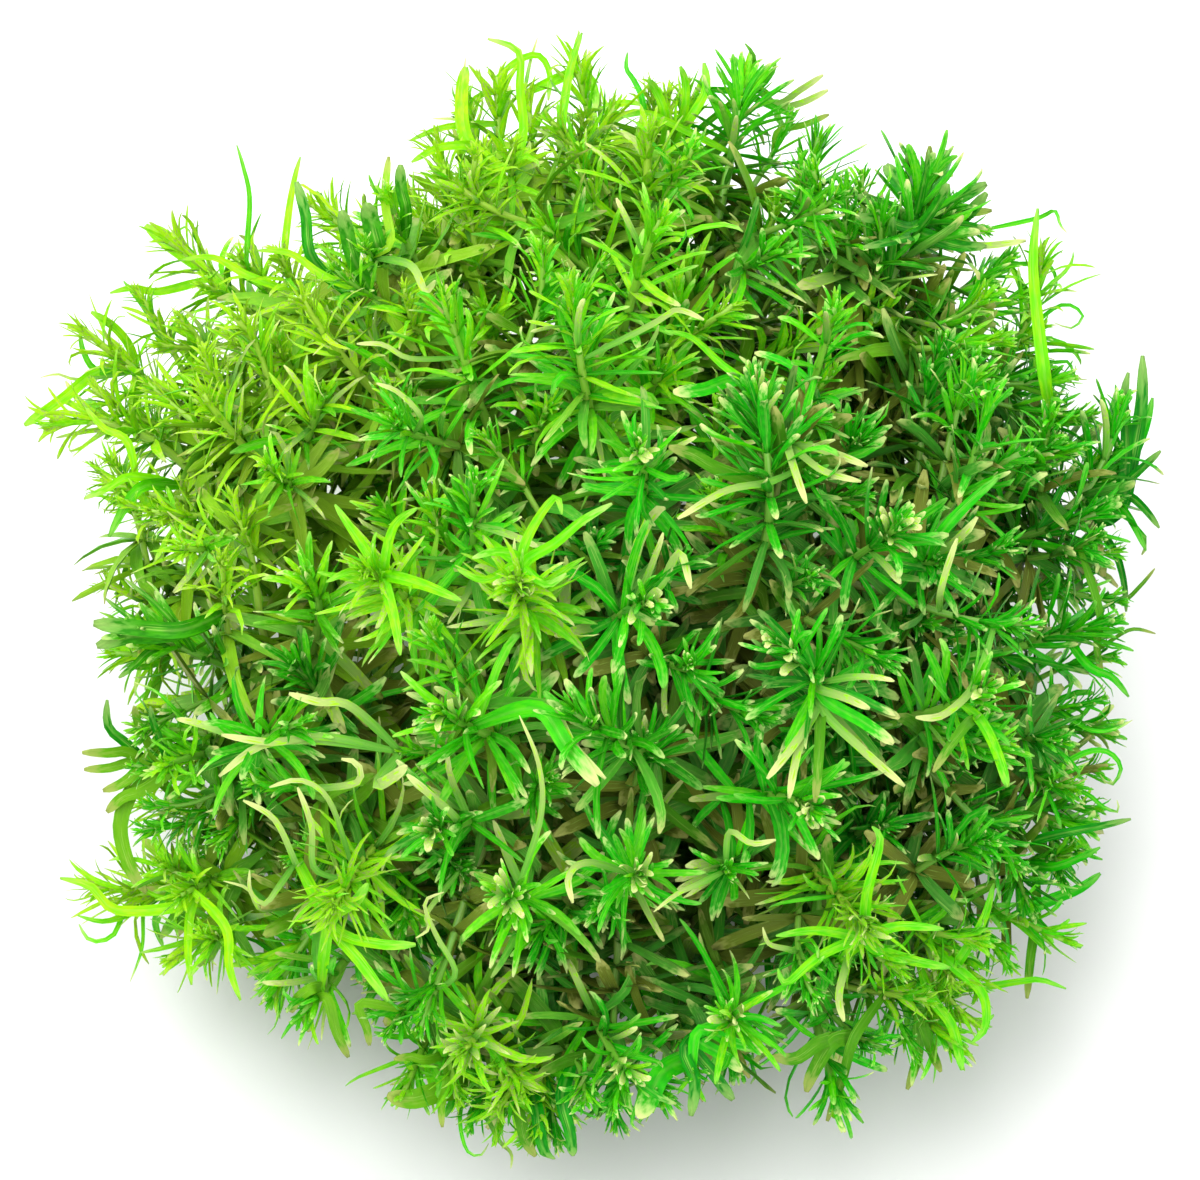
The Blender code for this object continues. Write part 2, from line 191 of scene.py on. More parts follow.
# Shoots that lie along the mound and are seen from the side: the place that they come from
PLUMES = {
    "tall_crown": (12.4, 33),
    "upper_right_fan": (30.5, 26),
    "upper_middle": (-1.6, 14),
    "right_of_middle": (18, 8),
}
PLUME_RISE = 0.22

# Buds with twice the leaves
DENSE_BUDS = (*PLUMES, "lower_left_lime", "lower_right_lime", "left_lime_rosette", "middle_lime_rosette")

# Buds whose youngest leaves have cream tips, partly real pale tips and partly painted highlight
# specks, and those leaves: their number, how far below the bud they stand, their size, in
# millimetres, and their curl and rise, in degrees
CREAM_BUDS = (
    "right_large", "dark_middle", "lower_middle_left", "bottom_middle", "bottom_left_inner",
    "bottom_middle_low", "right_lime_bud", "right_deep", "bottom_right_inner",
    "lower_right_inner", "right_edge_lower", "middle_above", "middle_lime_rosette",
    "lower_left_inner", "right_of_middle", "lower_right_lime", "bottom_left",
)
CREAM_TIPS = 9
CREAM_DEPTHS = (0.2, 3.6)
CREAM_LENGTHS = (2.0, 3.4)
CREAM_WIDTHS = (0.6, 0.95)
CREAM_CURLS = (-90.0, 90.0)
CREAM_RISES = (45.0, 80.0)

# Small shoots that fill the rim between the buds: right, up in millimetres, kind and size
RIM_SHOOTS = (
    (-14.5, 42.5, "lime", 0.80), (-11.8, 46.5, "lime", 0.70), (-6.5, 46.5, "lime", 0.80),
    (2, 45.5, "lime", 0.80), (6.5, 46.5, "lime", 0.80), (9.5, 47, "lime", 0.75),
    (18, 44.5, "needle", 0.70), (19, 40.5, "green", 0.70), (24.5, 39, "green", 0.70),
    (-21, 32.5, "green", 0.60), (-24, 30.5, "green", 0.60), (-29, 32, "lime", 0.75),
    (-33, 31.5, "lime", 0.75), (-36, 29, "lime", 0.70), (-42, 28.5, "lime", 0.70),
    (-44, 23, "lime", 0.70), (-41, 20, "lime", 0.70), (-46, 19.5, "lime", 0.70),
    (-44.5, 13, "lime", 0.75), (-43, 9, "fresh", 0.70), (-41.5, -12, "deep", 0.60),
    (-42.5, -15, "dull", 0.56), (-41.5, -18.5, "dull", 0.56), (-41.5, -21, "dull", 0.70),
    (-40, -24, "fresh", 0.70), (-44, -27.5, "lime", 0.70), (-38, -27, "fresh", 0.80),
    (-36, -30.5, "fresh", 0.75), (-12.5, -45.5, "fresh", 0.80), (-9, -46.5, "lime", 0.80),
    (-6.5, -45, "lime", 0.80), (-1, -46, "dull", 0.70), (2, -46.5, "green", 0.70),
    (6.5, -45.5, "green", 0.80), (9, -43.5, "green", 0.55), (-3.5, -49.5, "deep", 0.70),
    (26.5, -41, "dull", 0.75), (29.5, -41.5, "dull", 0.70), (33, -38, "lime", 0.70),
    (35.5, -36, "lime", 0.75), (38, -33.5, "fresh", 0.70), (40, -28, "deep", 0.75),
    (43, -25.5, "deep", 0.70), (45, -23, "green", 0.60), (44, -17, "green", 0.75),
    (46, -19, "green", 0.70), (46.5, -15, "green", 0.70), (43, -13, "deep", 0.70),
    (46.5, -9, "dull", 0.70), (47.5, -5, "dull", 0.70), (48, 0, "dull", 0.70),
    (48, 4.5, "dull", 0.70), (46, 6, "deep", 0.70), (47.5, 9.5, "deep", 0.70),
    (46, 13, "green", 0.70), (44, 17, "green", 0.70), (42, 21, "green", 0.70),
    (41, 25, "fresh", 0.70), (38, 31.5, "green", 0.70), (35.5, 34, "green", 0.70),
    (33, 36.5, "deep", 0.70), (48, 14, "deep", 0.55), (-36, 23, "lime", 0.85),
    (-33, 26, "lime", 0.85), (-38, 26, "lime", 0.75), (-40, 23.5, "lime", 0.75),
    (-45.5, 17, "yellow", 0.75), (-45, 11, "lime", 0.70), (35, 22, "green", 0.85),
    (37.5, 24, "fresh", 0.80), (39, 28, "green", 0.70), (36, 28, "green", 0.80),
    (22, 37, "green", 0.80), (26, 36, "deep", 0.80), (20, 39.5, "green", 0.80),
    (9, 41.5, "fresh", 0.80), (-7.5, 42, "lime", 0.80), (-11, 41, "lime", 0.80),
    (-4, 44, "lime", 0.75), (44, 14, "green", 0.75), (42, 17, "green", 0.75),
    (-9, -49, "lime", 0.70), (-11.5, -48, "dull", 0.70), (-6.5, -49.5, "fresh", 0.70),
    (-16, -39, "dull", 0.80), (-19, -39.5, "dull", 0.75), (35, -39, "lime", 0.70),
    (33, -35, "lime", 0.80), (28, -34, "fresh", 0.80), (30.5, -36.5, "lime", 0.75),
    (40, -2, "dull", 0.80), (38, -13, "green", 0.80), (-38, 5, "fresh", 0.80),
    (36, -22, "deep", 0.80), (38.5, -24, "deep", 0.80), (20, -36, "green", 0.75),
    (23, 38.5, "green", 0.70), (5, 47.5, "yellow", 0.60), (8.5, 47.5, "yellow", 0.70),
    (-46, 12.5, "yellow", 0.60), (-14, 39.5, "lime", 0.80), (43.5, 20.5, "green", 0.75),
    (45.5, 17, "green", 0.70),
)

# Looks of single leaves and threads: tone, age and pointedness
LOOKS = {
    "lime": (0.25, 0.05, 0.60),
    "lime_blunt": (0.28, 0.20, 0.20),
    "fresh": (0.38, 0.10, 0.50),
    "green": (0.60, 0.10, 0.55),
    "green_blunt": (0.60, 0.30, 0.08),
    "deep": (0.92, 0.10, 0.50),
    "deep_blunt": (0.92, 0.20, 0.08),
    "olive": (0.42, 0.90, 0.35),
    "cream": (0.0, 0.30, 0.20),
    "cream_thread": (0.0, 0.30, 0.70),
    "thread": (0.50, 0.40, 0.80),
}

# Single leaves and threads that stand out: look, width, and right and up of their places from
# base to tip, in millimetres
STRANDS = (
    # rim, from the upper left over the crown
    ("lime_blunt", 1.1, -46, 21, -49, 18.5, -52.3, 16.1),
    ("cream_thread", 0.4, -47.5, 20.4, -49.5, 20.9, -51.2, 20.6),
    ("green", 0.7, -45.8, 21.2, -47.2, 23, -47.6, 25),
    ("lime_blunt", 0.9, -42.5, 22.5, -44, 25, -46.2, 26.5),
    ("lime", 0.9, -40, 28.5, -42.5, 28.8, -44.6, 28.3),
    ("green", 0.7, -40.5, 25, -41.5, 27, -43.5, 29.5),
    ("lime_blunt", 1.2, -37.5, 31.5, -39.6, 33, -41.5, 34.7),
    ("thread", 0.4, -37, 32, -38.4, 33.8, -37.6, 34.4, -36.9, 33),
    ("thread", 0.4, -36, 32, -36.9, 33.8, -36.2, 34.5),
    ("lime", 0.8, -32, 30, -35, 31.6, -38, 31.4),
    ("lime", 0.8, -25, 30, -28, 32, -31, 32.2),
    ("green", 0.55, -32.1, 31.5, -31.8, 37, -32.4, 40, -33, 42),
    ("lime", 0.75, -28.6, 31.5, -28.2, 36, -27.7, 39, -27.2, 41),
    ("deep_blunt", 1.05, -26, 31.5, -26.6, 35.5, -27.4, 38.5),
    ("deep_blunt", 1.4, -22.2, 31.5, -22.8, 34, -23.2, 35.8),
    ("deep_blunt", 1.7, -20, 32.5, -20.6, 35, -20.9, 36.5),
    ("olive", 0.85, -18.8, 33, -19.4, 37, -19.1, 41.2),
    ("deep_blunt", 1.1, -17.4, 36, -17.8, 38, -17.8, 40),
    ("lime", 0.8, -12.5, 43.8, -14.5, 43.4, -17, 42.3),
    ("lime", 0.9, -12, 42, -14.5, 41.6, -16.8, 40.2),
    ("lime_blunt", 1.3, -12, 43, -12.3, 46.5, -11.9, 49.2),
    ("cream_thread", 0.35, -12.1, 47, -12, 50.3),
    ("lime", 0.8, -11.5, 45.5, -9.5, 46.8, -7.8, 46),
    ("fresh", 0.9, -6.6, 43, -6.9, 47, -7, 50.3, -9.8, 51.3),
    ("fresh", 0.7, -7, 49.8, -5.2, 50.2, -4.2, 48.6, -4.3, 46),
    ("cream_thread", 0.4, -6, 49.5, -5.3, 52),
    ("lime", 0.9, -3, 44, -2.5, 48, -1.9, 50.5, -1.2, 52.5),
    ("fresh", 1.1, -2.4, 48.5, -1, 48.6, -0.1, 47, 0.1, 45),
    ("green", 0.6, 4.4, 46, 3.6, 48, 2.9, 49.2, 3, 50.8),
    ("lime_blunt", 0.9, 6.5, 44.5, 5.6, 46.8, 4.8, 47.6),
    ("lime_blunt", 0.8, 8.2, 45, 8.3, 47.5, 7.8, 48.9),
    ("lime_blunt", 0.9, 8.8, 44.5, 10.2, 47, 10, 49.4),
    ("lime", 0.8, 7, 44, 4.6, 44.8, 2.6, 44.2),
    ("green", 0.7, 13.8, 47, 14.6, 49.6, 13.7, 50.9),
    ("green", 0.7, 14.4, 47, 16.2, 48.4, 16.6, 49.6),
    ("green", 0.7, 13.2, 47, 11.6, 48.4, 11.2, 49.3),
    ("cream", 0.7, 16.5, 45.8, 18.8, 46.9, 20.9, 48.2),
    ("cream", 0.7, 16.8, 45, 19.3, 45.9, 21.4, 46.9),
    ("olive", 0.7, 16.8, 43.2, 19.3, 43.9, 21.6, 44.9),
    # upper right fan and right edge
    ("deep_blunt", 1.4, 29.4, 36, 28, 38.6, 26.9, 40.4),
    ("deep_blunt", 1.3, 29.8, 36, 29.2, 38.8, 28.7, 41.1),
    ("olive", 1.1, 30.4, 36, 30.6, 39, 30.6, 41.6),
    ("deep_blunt", 1.3, 30.6, 36, 31.7, 38.8, 32.4, 41.7),
    ("deep_blunt", 1.2, 30.8, 35.6, 33.4, 37, 36.2, 38.6),
    ("olive", 1.0, 30.9, 35.2, 33.8, 35.7, 36.7, 36.1),
    ("deep_blunt", 1.2, 30.9, 34.8, 33.6, 35, 35.9, 37.4),
    ("cream", 0.7, 31.2, 33.4, 35.5, 32.7, 39.6, 33.1),
    ("deep", 1.3, 30.8, 33.6, 33.4, 32.7, 36, 32.6),
    ("deep_blunt", 1.0, 29, 35.2, 26.5, 36.4, 24, 37.1),
    ("deep_blunt", 1.0, 29, 34.4, 26.4, 35, 23.9, 35.2),
    ("deep", 1.0, 29, 33.6, 27, 33, 24.6, 32.4),
    ("lime", 1.3, 41.5, 20, 40.8, 25, 40.2, 31, 40.6, 36),
    ("thread", 0.5, 40.6, 35.2, 42.2, 35.8, 42.6, 34.4, 43.1, 33.6),
    ("thread", 0.5, 40.5, 31, 42, 30.8, 42.6, 29.2, 41.6, 27.8),
    ("thread", 0.45, 41.4, 26.3, 43.4, 27.3, 44.9, 26.3, 43.9, 25.1, 42.2, 25.6),
    ("thread", 0.45, 42, 22, 43.6, 22, 44.3, 20.6, 45.4, 20.4),
    ("deep", 1.6, 48, 8, 49.4, 13, 50.3, 18, 50.4, 22.6),
    ("deep", 1.3, 48.3, 10, 48.9, 15, 48.6, 18.5, 49, 21),
    ("green", 1.1, 48.6, 12, 50.6, 15.5, 51.6, 18.8),
    ("deep", 1.0, 48.8, 11, 50.6, 12.5, 52, 13.8),
    ("green", 0.9, 48.4, 13, 47.6, 16, 47.9, 19),
    ("deep", 0.9, 48.8, 9.8, 50.4, 8.6, 51.8, 6.7),
    ("green", 0.9, 46.5, 10, 48.8, 8, 50.4, 4.6),
    ("olive", 0.45, 48.5, 0, 50.2, 1.4, 51.5, 3),
    ("olive", 0.4, 47, -4, 49.4, -2.6, 51.6, -3),
    ("deep", 0.8, 47.6, 5, 48.7, 2, 49, -1),
    ("olive", 0.8, 46.5, -1, 46.3, -4, 46.9, -7),
    ("green", 0.9, 45.5, -6, 47.6, -7, 49.1, -8.8),
    ("thread", 0.5, 45.5, -11.8, 47.6, -11.8, 49.3, -10.9),
    ("thread", 0.6, 45, -14, 47.3, -13.9, 48.5, -15.4, 47.6, -17, 46.6, -16),
    ("thread", 0.55, 45, -17.6, 46.7, -18.9, 48, -19.3, 47.8, -18.2),
    ("deep", 0.9, 42.5, -21.5, 46, -20.7, 49, -19.9),
    ("green", 0.9, 42, -24.5, 44.4, -23.6, 46.2, -22.5),
    ("green", 1.2, 42, -27.5, 44.8, -26.5, 46.8, -25.2),
    # lower right rim
    ("green", 0.9, 40.8, -29.5, 43, -31, 44.9, -32),
    ("olive", 1.0, 40.6, -29, 40.1, -33, 39.8, -36.6),
    ("lime", 0.8, 35, -35.6, 39, -35, 41, -34.8, 43.3, -35.6),
    ("lime", 1.1, 33, -33.5, 35.6, -36, 35.8, -39, 34.4, -40.4),
    ("lime_blunt", 1.0, 31, -36.5, 32.8, -39, 33.6, -42.9),
    ("olive", 1.0, 30, -38.5, 30.8, -41, 31.7, -43.1),
    ("olive", 1.1, 30, -38, 29.8, -42, 28.9, -45.2),
    ("olive", 1.0, 24, -40, 22.8, -44, 21.4, -47.9),
    ("olive", 1.4, 21, -40.5, 18.5, -42, 16.3, -41.7),
    ("olive", 1.5, 22, -40.5, 20, -43.4, 19.4, -45),
    ("green", 0.8, 12.5, -38.2, 15, -38.2, 17.1, -38.9),
    ("green_blunt", 1.0, 9.5, -39.5, 12.8, -40.6, 15.9, -41.3),
    ("green_blunt", 1.1, 9.3, -40, 11.8, -41.8, 13.6, -43.3),
    ("deep_blunt", 1.1, 9, -40.4, 11, -43.6, 12.8, -46.1),
    ("deep_blunt", 1.1, 8.4, -40.8, 9.2, -44, 8.8, -47.1),
    ("green_blunt", 1.9, 6.4, -43.2, 5, -45.6, 4, -47.2),
    ("thread", 0.5, 4, -46, 3.4, -48, 4.2, -48.8),
    ("deep", 1.3, -3, -45.5, -2.2, -49, -2, -52.1),
    ("deep", 1.3, -5.4, -46.5, -4.9, -49.5, -3.7, -52.3),
    ("olive", 1.2, -7, -47, -6.4, -49.4, -5.4, -50.8),
    ("thread", 0.45, -12.4, -47, -11.9, -50.4, -10.6, -51.1, -9.8, -50),
    ("cream_thread", 0.45, -9, -49.4, -7.7, -50.7, -7.7, -52),
    ("olive", 2.1, -14.5, -45.2, -16.8, -45.7, -19, -45.2),
    ("olive", 0.8, -13.6, -44, -14.1, -46.4, -14, -48.3),
    ("olive", 0.9, -15.5, -42.2, -17, -41.8, -18.4, -41.9),
    ("olive", 0.9, -21.6, -37, -21, -39.4, -20.8, -41),
    ("olive", 1.0, -24.6, -36.6, -23.9, -39.6, -22.8, -42.2),
    ("olive", 0.9, -26.6, -36, -26.8, -38, -26.4, -39.8),
    ("olive", 1.1, -26, -35.6, -27.4, -36.6, -28, -37.9),
    # left rim, upward
    ("lime", 1.0, -34, -30, -33.6, -33.6, -32.5, -36.6),
    ("lime", 0.9, -37.2, -28.5, -37.4, -32, -37, -35.2),
    ("green", 0.8, -39.5, -27.6, -40.6, -29.6, -40, -32.1),
    ("thread", 0.4, -41.6, -28.6, -41.8, -32, -43, -35.2),
    ("fresh", 0.55, -42.8, -28, -44.4, -30.8, -46.5, -31.3, -47.6, -29.8),
    ("lime", 1.1, -38, -28, -44, -28.4, -46.3, -26.2, -49.1, -25.4),
    ("lime", 0.7, -42, -28.4, -45, -29.4, -47.4, -28.8),
    ("thread", 0.35, -42.5, -26.5, -45.6, -26.4, -46.8, -25.1),
    ("fresh", 0.5, -39.4, -27.4, -41.2, -26.6, -42.9, -24.9),
    ("olive", 1.5, -42.4, -17, -43.6, -20.6, -42.6, -24.4, -41, -26.6),
    ("olive", 1.2, -41.6, -17.4, -43.4, -18, -44.9, -19.4),
    ("olive", 1.1, -42.4, -14.2, -44.6, -13.9, -46.8, -13.8),
    ("olive", 1.0, -42.4, -14.8, -44.6, -15.3, -46.8, -15.4),
    ("olive", 1.1, -42, -15.4, -43.6, -16.8, -45.2, -17.4),
    ("deep", 1.1, -42.6, -13.6, -44.6, -11.6, -44.6, -9),
    ("olive", 0.9, -41.4, -12.6, -42, -11, -42.2, -9.6),
    ("deep", 0.8, -40.2, -12.4, -40.6, -11, -40.7, -9.6),
    ("deep_blunt", 1.5, -38, -2.6, -42.4, -2.4, -46, -2),
    ("deep_blunt", 1.4, -39, -3, -43, -3.3, -45.8, -4.1),
    ("deep", 0.6, -41.4, -2.4, -43.2, -1.2, -45.1, 0.3),
    ("deep", 0.6, -38.6, -2.2, -40.6, 0, -43.1, 2.1),
    ("deep", 0.8, -41, -4.6, -42.2, -5.8, -43.6, -7),
    ("thread", 0.45, -39, -9.6, -40.4, -8.2, -42.2, -7.4),
    ("green", 1.2, -41.6, 10.6, -43.2, 8.6, -44.5, 5.9),
    ("fresh", 0.9, -42.6, 11.5, -44.8, 10.4, -46.9, 9.4),
    ("lime", 0.8, -43, 14.6, -45.4, 16, -47.2, 18),
    # over the surface
    ("lime", 1.05, -19.8, 2.8, -21.6, 5.6, -23.8, 8.9),
    ("lime", 0.95, -19.4, 3.2, -18.4, 7, -16.2, 8.6),
    ("lime", 0.9, -20, 2.6, -22.4, 2.8, -24.6, 1.8),
    ("lime", 1.15, -19.2, 2.4, -15.8, 1.6, -12.2, 0.1),
    ("lime", 1.1, -19.4, 2, -18.4, -1.6, -17.8, -4.9),
    ("lime", 0.95, -6.8, 4, -5.6, 7, -3.6, 9.6, -3, 8),
    ("fresh", 0.9, -7, 4, -9.2, 4.6, -11.2, 4),
    ("lime", 0.9, -7, 3.4, -10, 2, -12.6, 3),
    ("fresh", 1.0, -6.6, 3.4, -3.6, 5.4, -1.2, 7.4, 1.6, 9),
    ("fresh", 0.9, -6.4, 3, -4.4, 1.6, -2.6, 2.6),
    ("cream", 0.82, -22.5, -9.6, -25.4, -9.2, -28, -8.4),
    ("cream", 0.74, -25, -12.4, -29.6, -12.9, -34.2, -12.2),
    ("cream", 0.74, -25.2, -12.8, -30.6, -13.2, -34.4, -16),
    ("cream", 1.07, -20, -16.8, -18.4, -16, -17.2, -15),
    ("cream", 0.74, -12.8, -19.9, -15, -17.8, -17.2, -15.8),
    ("cream", 0.66, -23.4, -17, -21.6, -16.4, -21.8, -14.8, -23.2, -14.4),
    ("cream_thread", 0.6, -5, -20, -5.1, -15, -6.9, -10.4),
    ("green_blunt", 1.5, -5.4, -9.8, -2.6, -13.2, 0.3, -16.8),
    ("cream", 0.74, -4.4, -10, -1.8, -13.4, 1, -16.2),
    ("cream", 0.5, -24.4, -18.4, -27, -16.4, -29.8, -17),
    ("cream", 0.58, -25.8, -24.6, -26, -20.6, -27.2, -17),
    ("cream", 0.58, -27.6, -24, -29.4, -20, -32.2, -18.2),
    ("cream_thread", 0.5, -30.6, -28.4, -31.8, -26.4, -34, -25.6),
    ("cream_thread", 0.6, -29.2, -26.4, -30.4, -27.8, -31.6, -26.6, -31.6, -24.6),
    ("cream_thread", 0.55, -12.8, -34.2, -14.6, -30.6, -15.6, -27.6, -13.8, -26.6),
    ("cream_thread", 0.55, -15.4, -28.6, -15.2, -30, -16.4, -30.8),
    ("lime_blunt", 1.1, -24.2, -30, -21.6, -33, -18.9, -36.6),
    ("lime_blunt", 1.0, -24, -30, -20, -31.4, -16.4, -31.4),
    ("lime_blunt", 1.1, -24.4, -29.6, -22, -27.6, -20.8, -25.8),
    ("cream", 0.78, 21, -10, 24.6, -13.6, 28.4, -16.9),
    ("cream", 0.78, 20.6, -8, 23, -8.8, 25.2, -9.8),
    ("cream", 0.78, 20.4, -10, 18.4, -13, 15.8, -16.2),
    ("cream", 0.78, 20, -10.4, 18.6, -14, 17.8, -18),
    ("olive", 1.0, 20.8, -10.6, 20.6, -14, 20.2, -18.4),
    ("green_blunt", 1.1, 21.2, -9, 24.6, -11, 27.4, -13),
    ("cream", 0.66, 16, 11, 12, 10.2, 7.6, 7.6),
    ("cream", 0.74, 19, 14.4, 22, 13.6, 25, 12.4),
    ("cream", 0.66, 18.4, 14, 21, 12, 24.4, 11),
    ("cream", 0.74, 17.6, 15, 18.4, 12, 19.4, 9),
    ("cream", 0.74, 6, 1.4, 7.2, 3.8, 8, 4.4, 8.8, 1.2),
    ("lime", 1.1, 25, -31, 28, -29.8, 32, -30),
    ("lime", 1.2, 25.4, -31.6, 29, -33, 32.8, -33.8),
    ("lime", 1.0, 24.6, -31, 20.6, -32.6, 17.6, -35, 16.8, -33.6),
    ("lime", 1.0, 24.4, -31, 20.4, -30.2, 16.6, -30.6),
    ("lime", 1.1, 25, -30.6, 25, -27, 26.2, -22, 25.4, -20.6),
    ("cream", 0.74, 23, -34, 22.4, -36.4, 22.8, -38.4),
    ("lime", 1.0, 33.6, -33, 35.8, -29.4, 36.8, -26),
    ("cream_thread", 0.6, 17.8, -32, 16, -31.4, 15.4, -29.8),
    ("green", 1.1, 32, 6.4, 34.5, 9.2, 37, 11.4),
    ("cream", 0.66, 31.8, 0.6, 32.4, 3.2, 33.2, 5.8),
    ("cream", 0.74, 35, -7.6, 32, -10.4, 29.4, -10.6),
    ("olive", 1.0, 34.6, -11, 32.8, -13, 31, -15.6),
    ("lime_blunt", 1.0, 35.6, -11, 37, -14, 37.8, -17),
    ("cream", 0.57, 5.4, 25.6, 7.6, 26.8, 10, 25.8),
    ("lime", 0.7, 12, 21.6, 9, 24.2, 6.4, 24.8),
    ("cream", 0.49, -17, 22.4, -19.4, 23.6, -21.8, 23.6),
    ("cream", 0.49, -16, 17, -18, 19.2, -20, 20),
    ("cream", 0.74, -17, 31, -15.6, 28.6, -14.6, 29.4),
    ("cream", 0.57, 12.4, -21.2, 14.4, -22.2, 16.6, -21.8),
    ("cream_thread", 0.6, 9.6, -26, 7.6, -26.8, 5.4, -28.4),
    ("cream", 0.66, -0.6, -24, -2.4, -25.2, -2, -27.6),
    ("green_blunt", 1.2, 12.5, 20.4, 10, 19.5, 7.2, 19.2),
    ("olive", 1.3, 11.4, 12.2, 9, 13.5, 6.8, 14.2),
)
STRAND_STATIONS = 16
CURVE_STEPS = 8

# Their height over the mound at base and tip, how much more the tip may stray beyond an ellipse in
# the view, in millimetres, their steepest way in depth, and how far behind and below its base each
# one looks for a stem
STRAND_LIFTS = (-2.6 * MM, 0.7 * MM)
STRAND_SPREAD = (-7.0, 2.5)
STRAND_RIM = (45.0, 44.1)
STRAND_SLOPE = 0.45
STRAND_ROOT_BACK = 3.0 * MM
STRAND_ROOT_DOWN = 2.0 * MM

# Buds on the rest of the mound, spread evenly by the golden angle, and the rim in the view
# beyond which their leafy ends are drawn in
BUD_SPACING = 17.5 * MM
HIDDEN_CANDIDATES = 260
LOWEST_BUD_LEVEL = 8.2 * MM
GOLDEN_ANGLE = math.pi * (3.0 - math.sqrt(5.0))
RIM_WIDTH = 46.0 * MM
RIM_HEIGHT = 45.0 * MM
RIM_DRAW = 0.93

# How the stems stand and bend, and where side shoots leave them
FOOT_RADIUS = 20.0 * MM
FOOT_SPACING = 4.4 * MM
FOOT_ROUNDS = 150
UPWARD_LEAN = 0.3
ROOT_STRAIGHT = 0.42
TIP_STRAIGHT = 0.42
CURVE_SAMPLES = 48
FORK_REACH = 17.5 * MM
FORK_LIMIT = 20
FORK_LIFT = 0.6
LEAFY_LENGTH = 18.4 * MM
SIDE_SHOOT_SIZE = 0.95
SEEN_SIZES = (0.88, 1.06)
HIDDEN_SIZES = (0.80, 0.92)
BUD_LEAN = 0.16
PLUME_LEAN = 0.2 * BUD_LEAN

# Small side shoots that fill the mound between the buds
FILLER_CANDIDATES = 1500
FILLER_SPACING = 6.6 * MM
FILLER_DEPTHS = (0.82, 0.98)
FILLER_STEM = 15.0 * MM
FILLER_WHORLS = 7
FILLER_SIZE = 0.84
FILLER_SIZES = (0.75, 1.15)
FILLER_LEAN = 0.30
BRANCH_LOWEST = 4.0 * MM
BRANCH_BELOW_BUD = 5.0 * MM
BRANCH_ALONG = 0.3

# Dark valleys between the clumps, where the fillers stay deep and those low in the view take the
# deepest green as painted shade, and notches of the rim, which have none: right, up and radius in
# millimetres
VALLEYS = (
    (9, 27, 8), (-11, 32, 6), (0, 9, 5), (9, 8, 5), (-32, -9, 6), (29, -17, 9), (10, -14, 4),
    (-15, -35, 6), (-5, -29, 5), (43, -2, 5), (37, -26, 5), (-24, 10, 5), (-9, -14, 5),
    (35, 12, 4), (-40, -34, 3), (13, 43, 4), (12.5, 37, 5), (13, 31, 5), (-2, 23, 4), (-2, 17, 4),
    (16, 14, 4), (30, 33, 4), (30, 27, 4),
)
NOTCHES = ((17, -41, 5), (-45, 4, 5), (-49, -6, 4), (20, 47, 3))
VALLEY_DEPTHS = (0.72, 0.84)
BRIGHT_VALLEYS_FROM = 11.0 * MM
DEEP_SIZE = 1.25

# Kinds of the shoots that aren't seen, by how young their side of the bunch is
KIND_YOUTHS = ((0.55, "lime"), (0.2, "fresh"), (-0.15, "green"), (-0.7, "deep"))
YOUTH_BACK, YOUTH_CROWN, YOUTH_RIGHT = 0.5, 0.55, 0.8
YOUTH_SPREAD = 0.35
DULL_SHARE = 0.4

# Shares of cream leaves and of long curled ones, and the palest tone of the others
CREAM_SHARE = 0.05
STRAP_SHARE = 0.08
PALEST = 0.09

# How far leaves sag, and from which share of its length on one curls
SAG = 0.30
LEAST_SAG = 0.2
CURL_FROM = 0.5

# How much shoots and the leaves of a whorl differ; from whorl OPEN_WHORLS down, leaves may be
# missing, cream or long and curled
SHOOT_TONE_SPREAD = 0.06
LOOSE_SHARES = (0.75, 1.25)
PHASE_SPREAD = 0.2
OPEN_WHORLS = 4
MISSING_SHARE = 0.12
LENGTH_SHARES = (0.5, 1.15, 1.0)
WIDTH_SHARES = (0.62, 1.05)
RISE_SPREAD = 15.0
CURLS = (-90.0, 60.0)
STRAP_LENGTHS = (1.15, 1.4)
STRAP_CURLS = (40.0, 110.0)
LEAF_ROOT = 0.6
FOOT_SPREAD = 0.7
TONE_AT_BUD = -0.12
TONE_PER_WHORL = 0.03
TONE_SPREAD = 0.13
WHORLS_TO_OLD = 9.0
AGE_SPREAD = (-0.2, 0.3)

# How much leaves stray from their kind: bend and twist as shares of its sway, and point
BEND_SPREAD = 0.6
TWIST_SPREAD = 1.6
POINT_SPREAD = 0.12

# The whorls of a shoot: how far below the bud each one is, and its number of leaves
WHORL_PLACES = tuple(place * MM for place in (0.2, 0.8, 1.7, 2.9, 4.5, 6.4, 8.6, 11.0, 13.5, 16.1, 18.8))
WHORL_COUNTS = (3, 4, 5, 6, 7, 7, 7, 7, 6, 6, 5)

# Old leaves on the lower stem, down to a lowest place
OLD_LOWEST = 3.0 * MM
OLD_WHORL_SPACING = 2.7 * MM
OLD_WHORL_STEPS = (0.85, 1.2)
OLD_WHORL_COUNT = 7
OLD_MISSING_SHARE = 0.15
OLD_PHASE_SPREAD = 0.3
OLD_LEAF_LENGTH = 8.4 * MM
OLD_LENGTH_SHARES = (0.6, 1.15)
OLD_LEAF_WIDTH = 1.4 * MM
OLD_WIDTH_SHARES = (0.8, 1.15)
OLD_RISES = (-30.0, 30.0)
OLD_AGES = (0.6, 1.0)
OLD_TONE = 0.25
OLD_TONE_SPREAD = 0.1

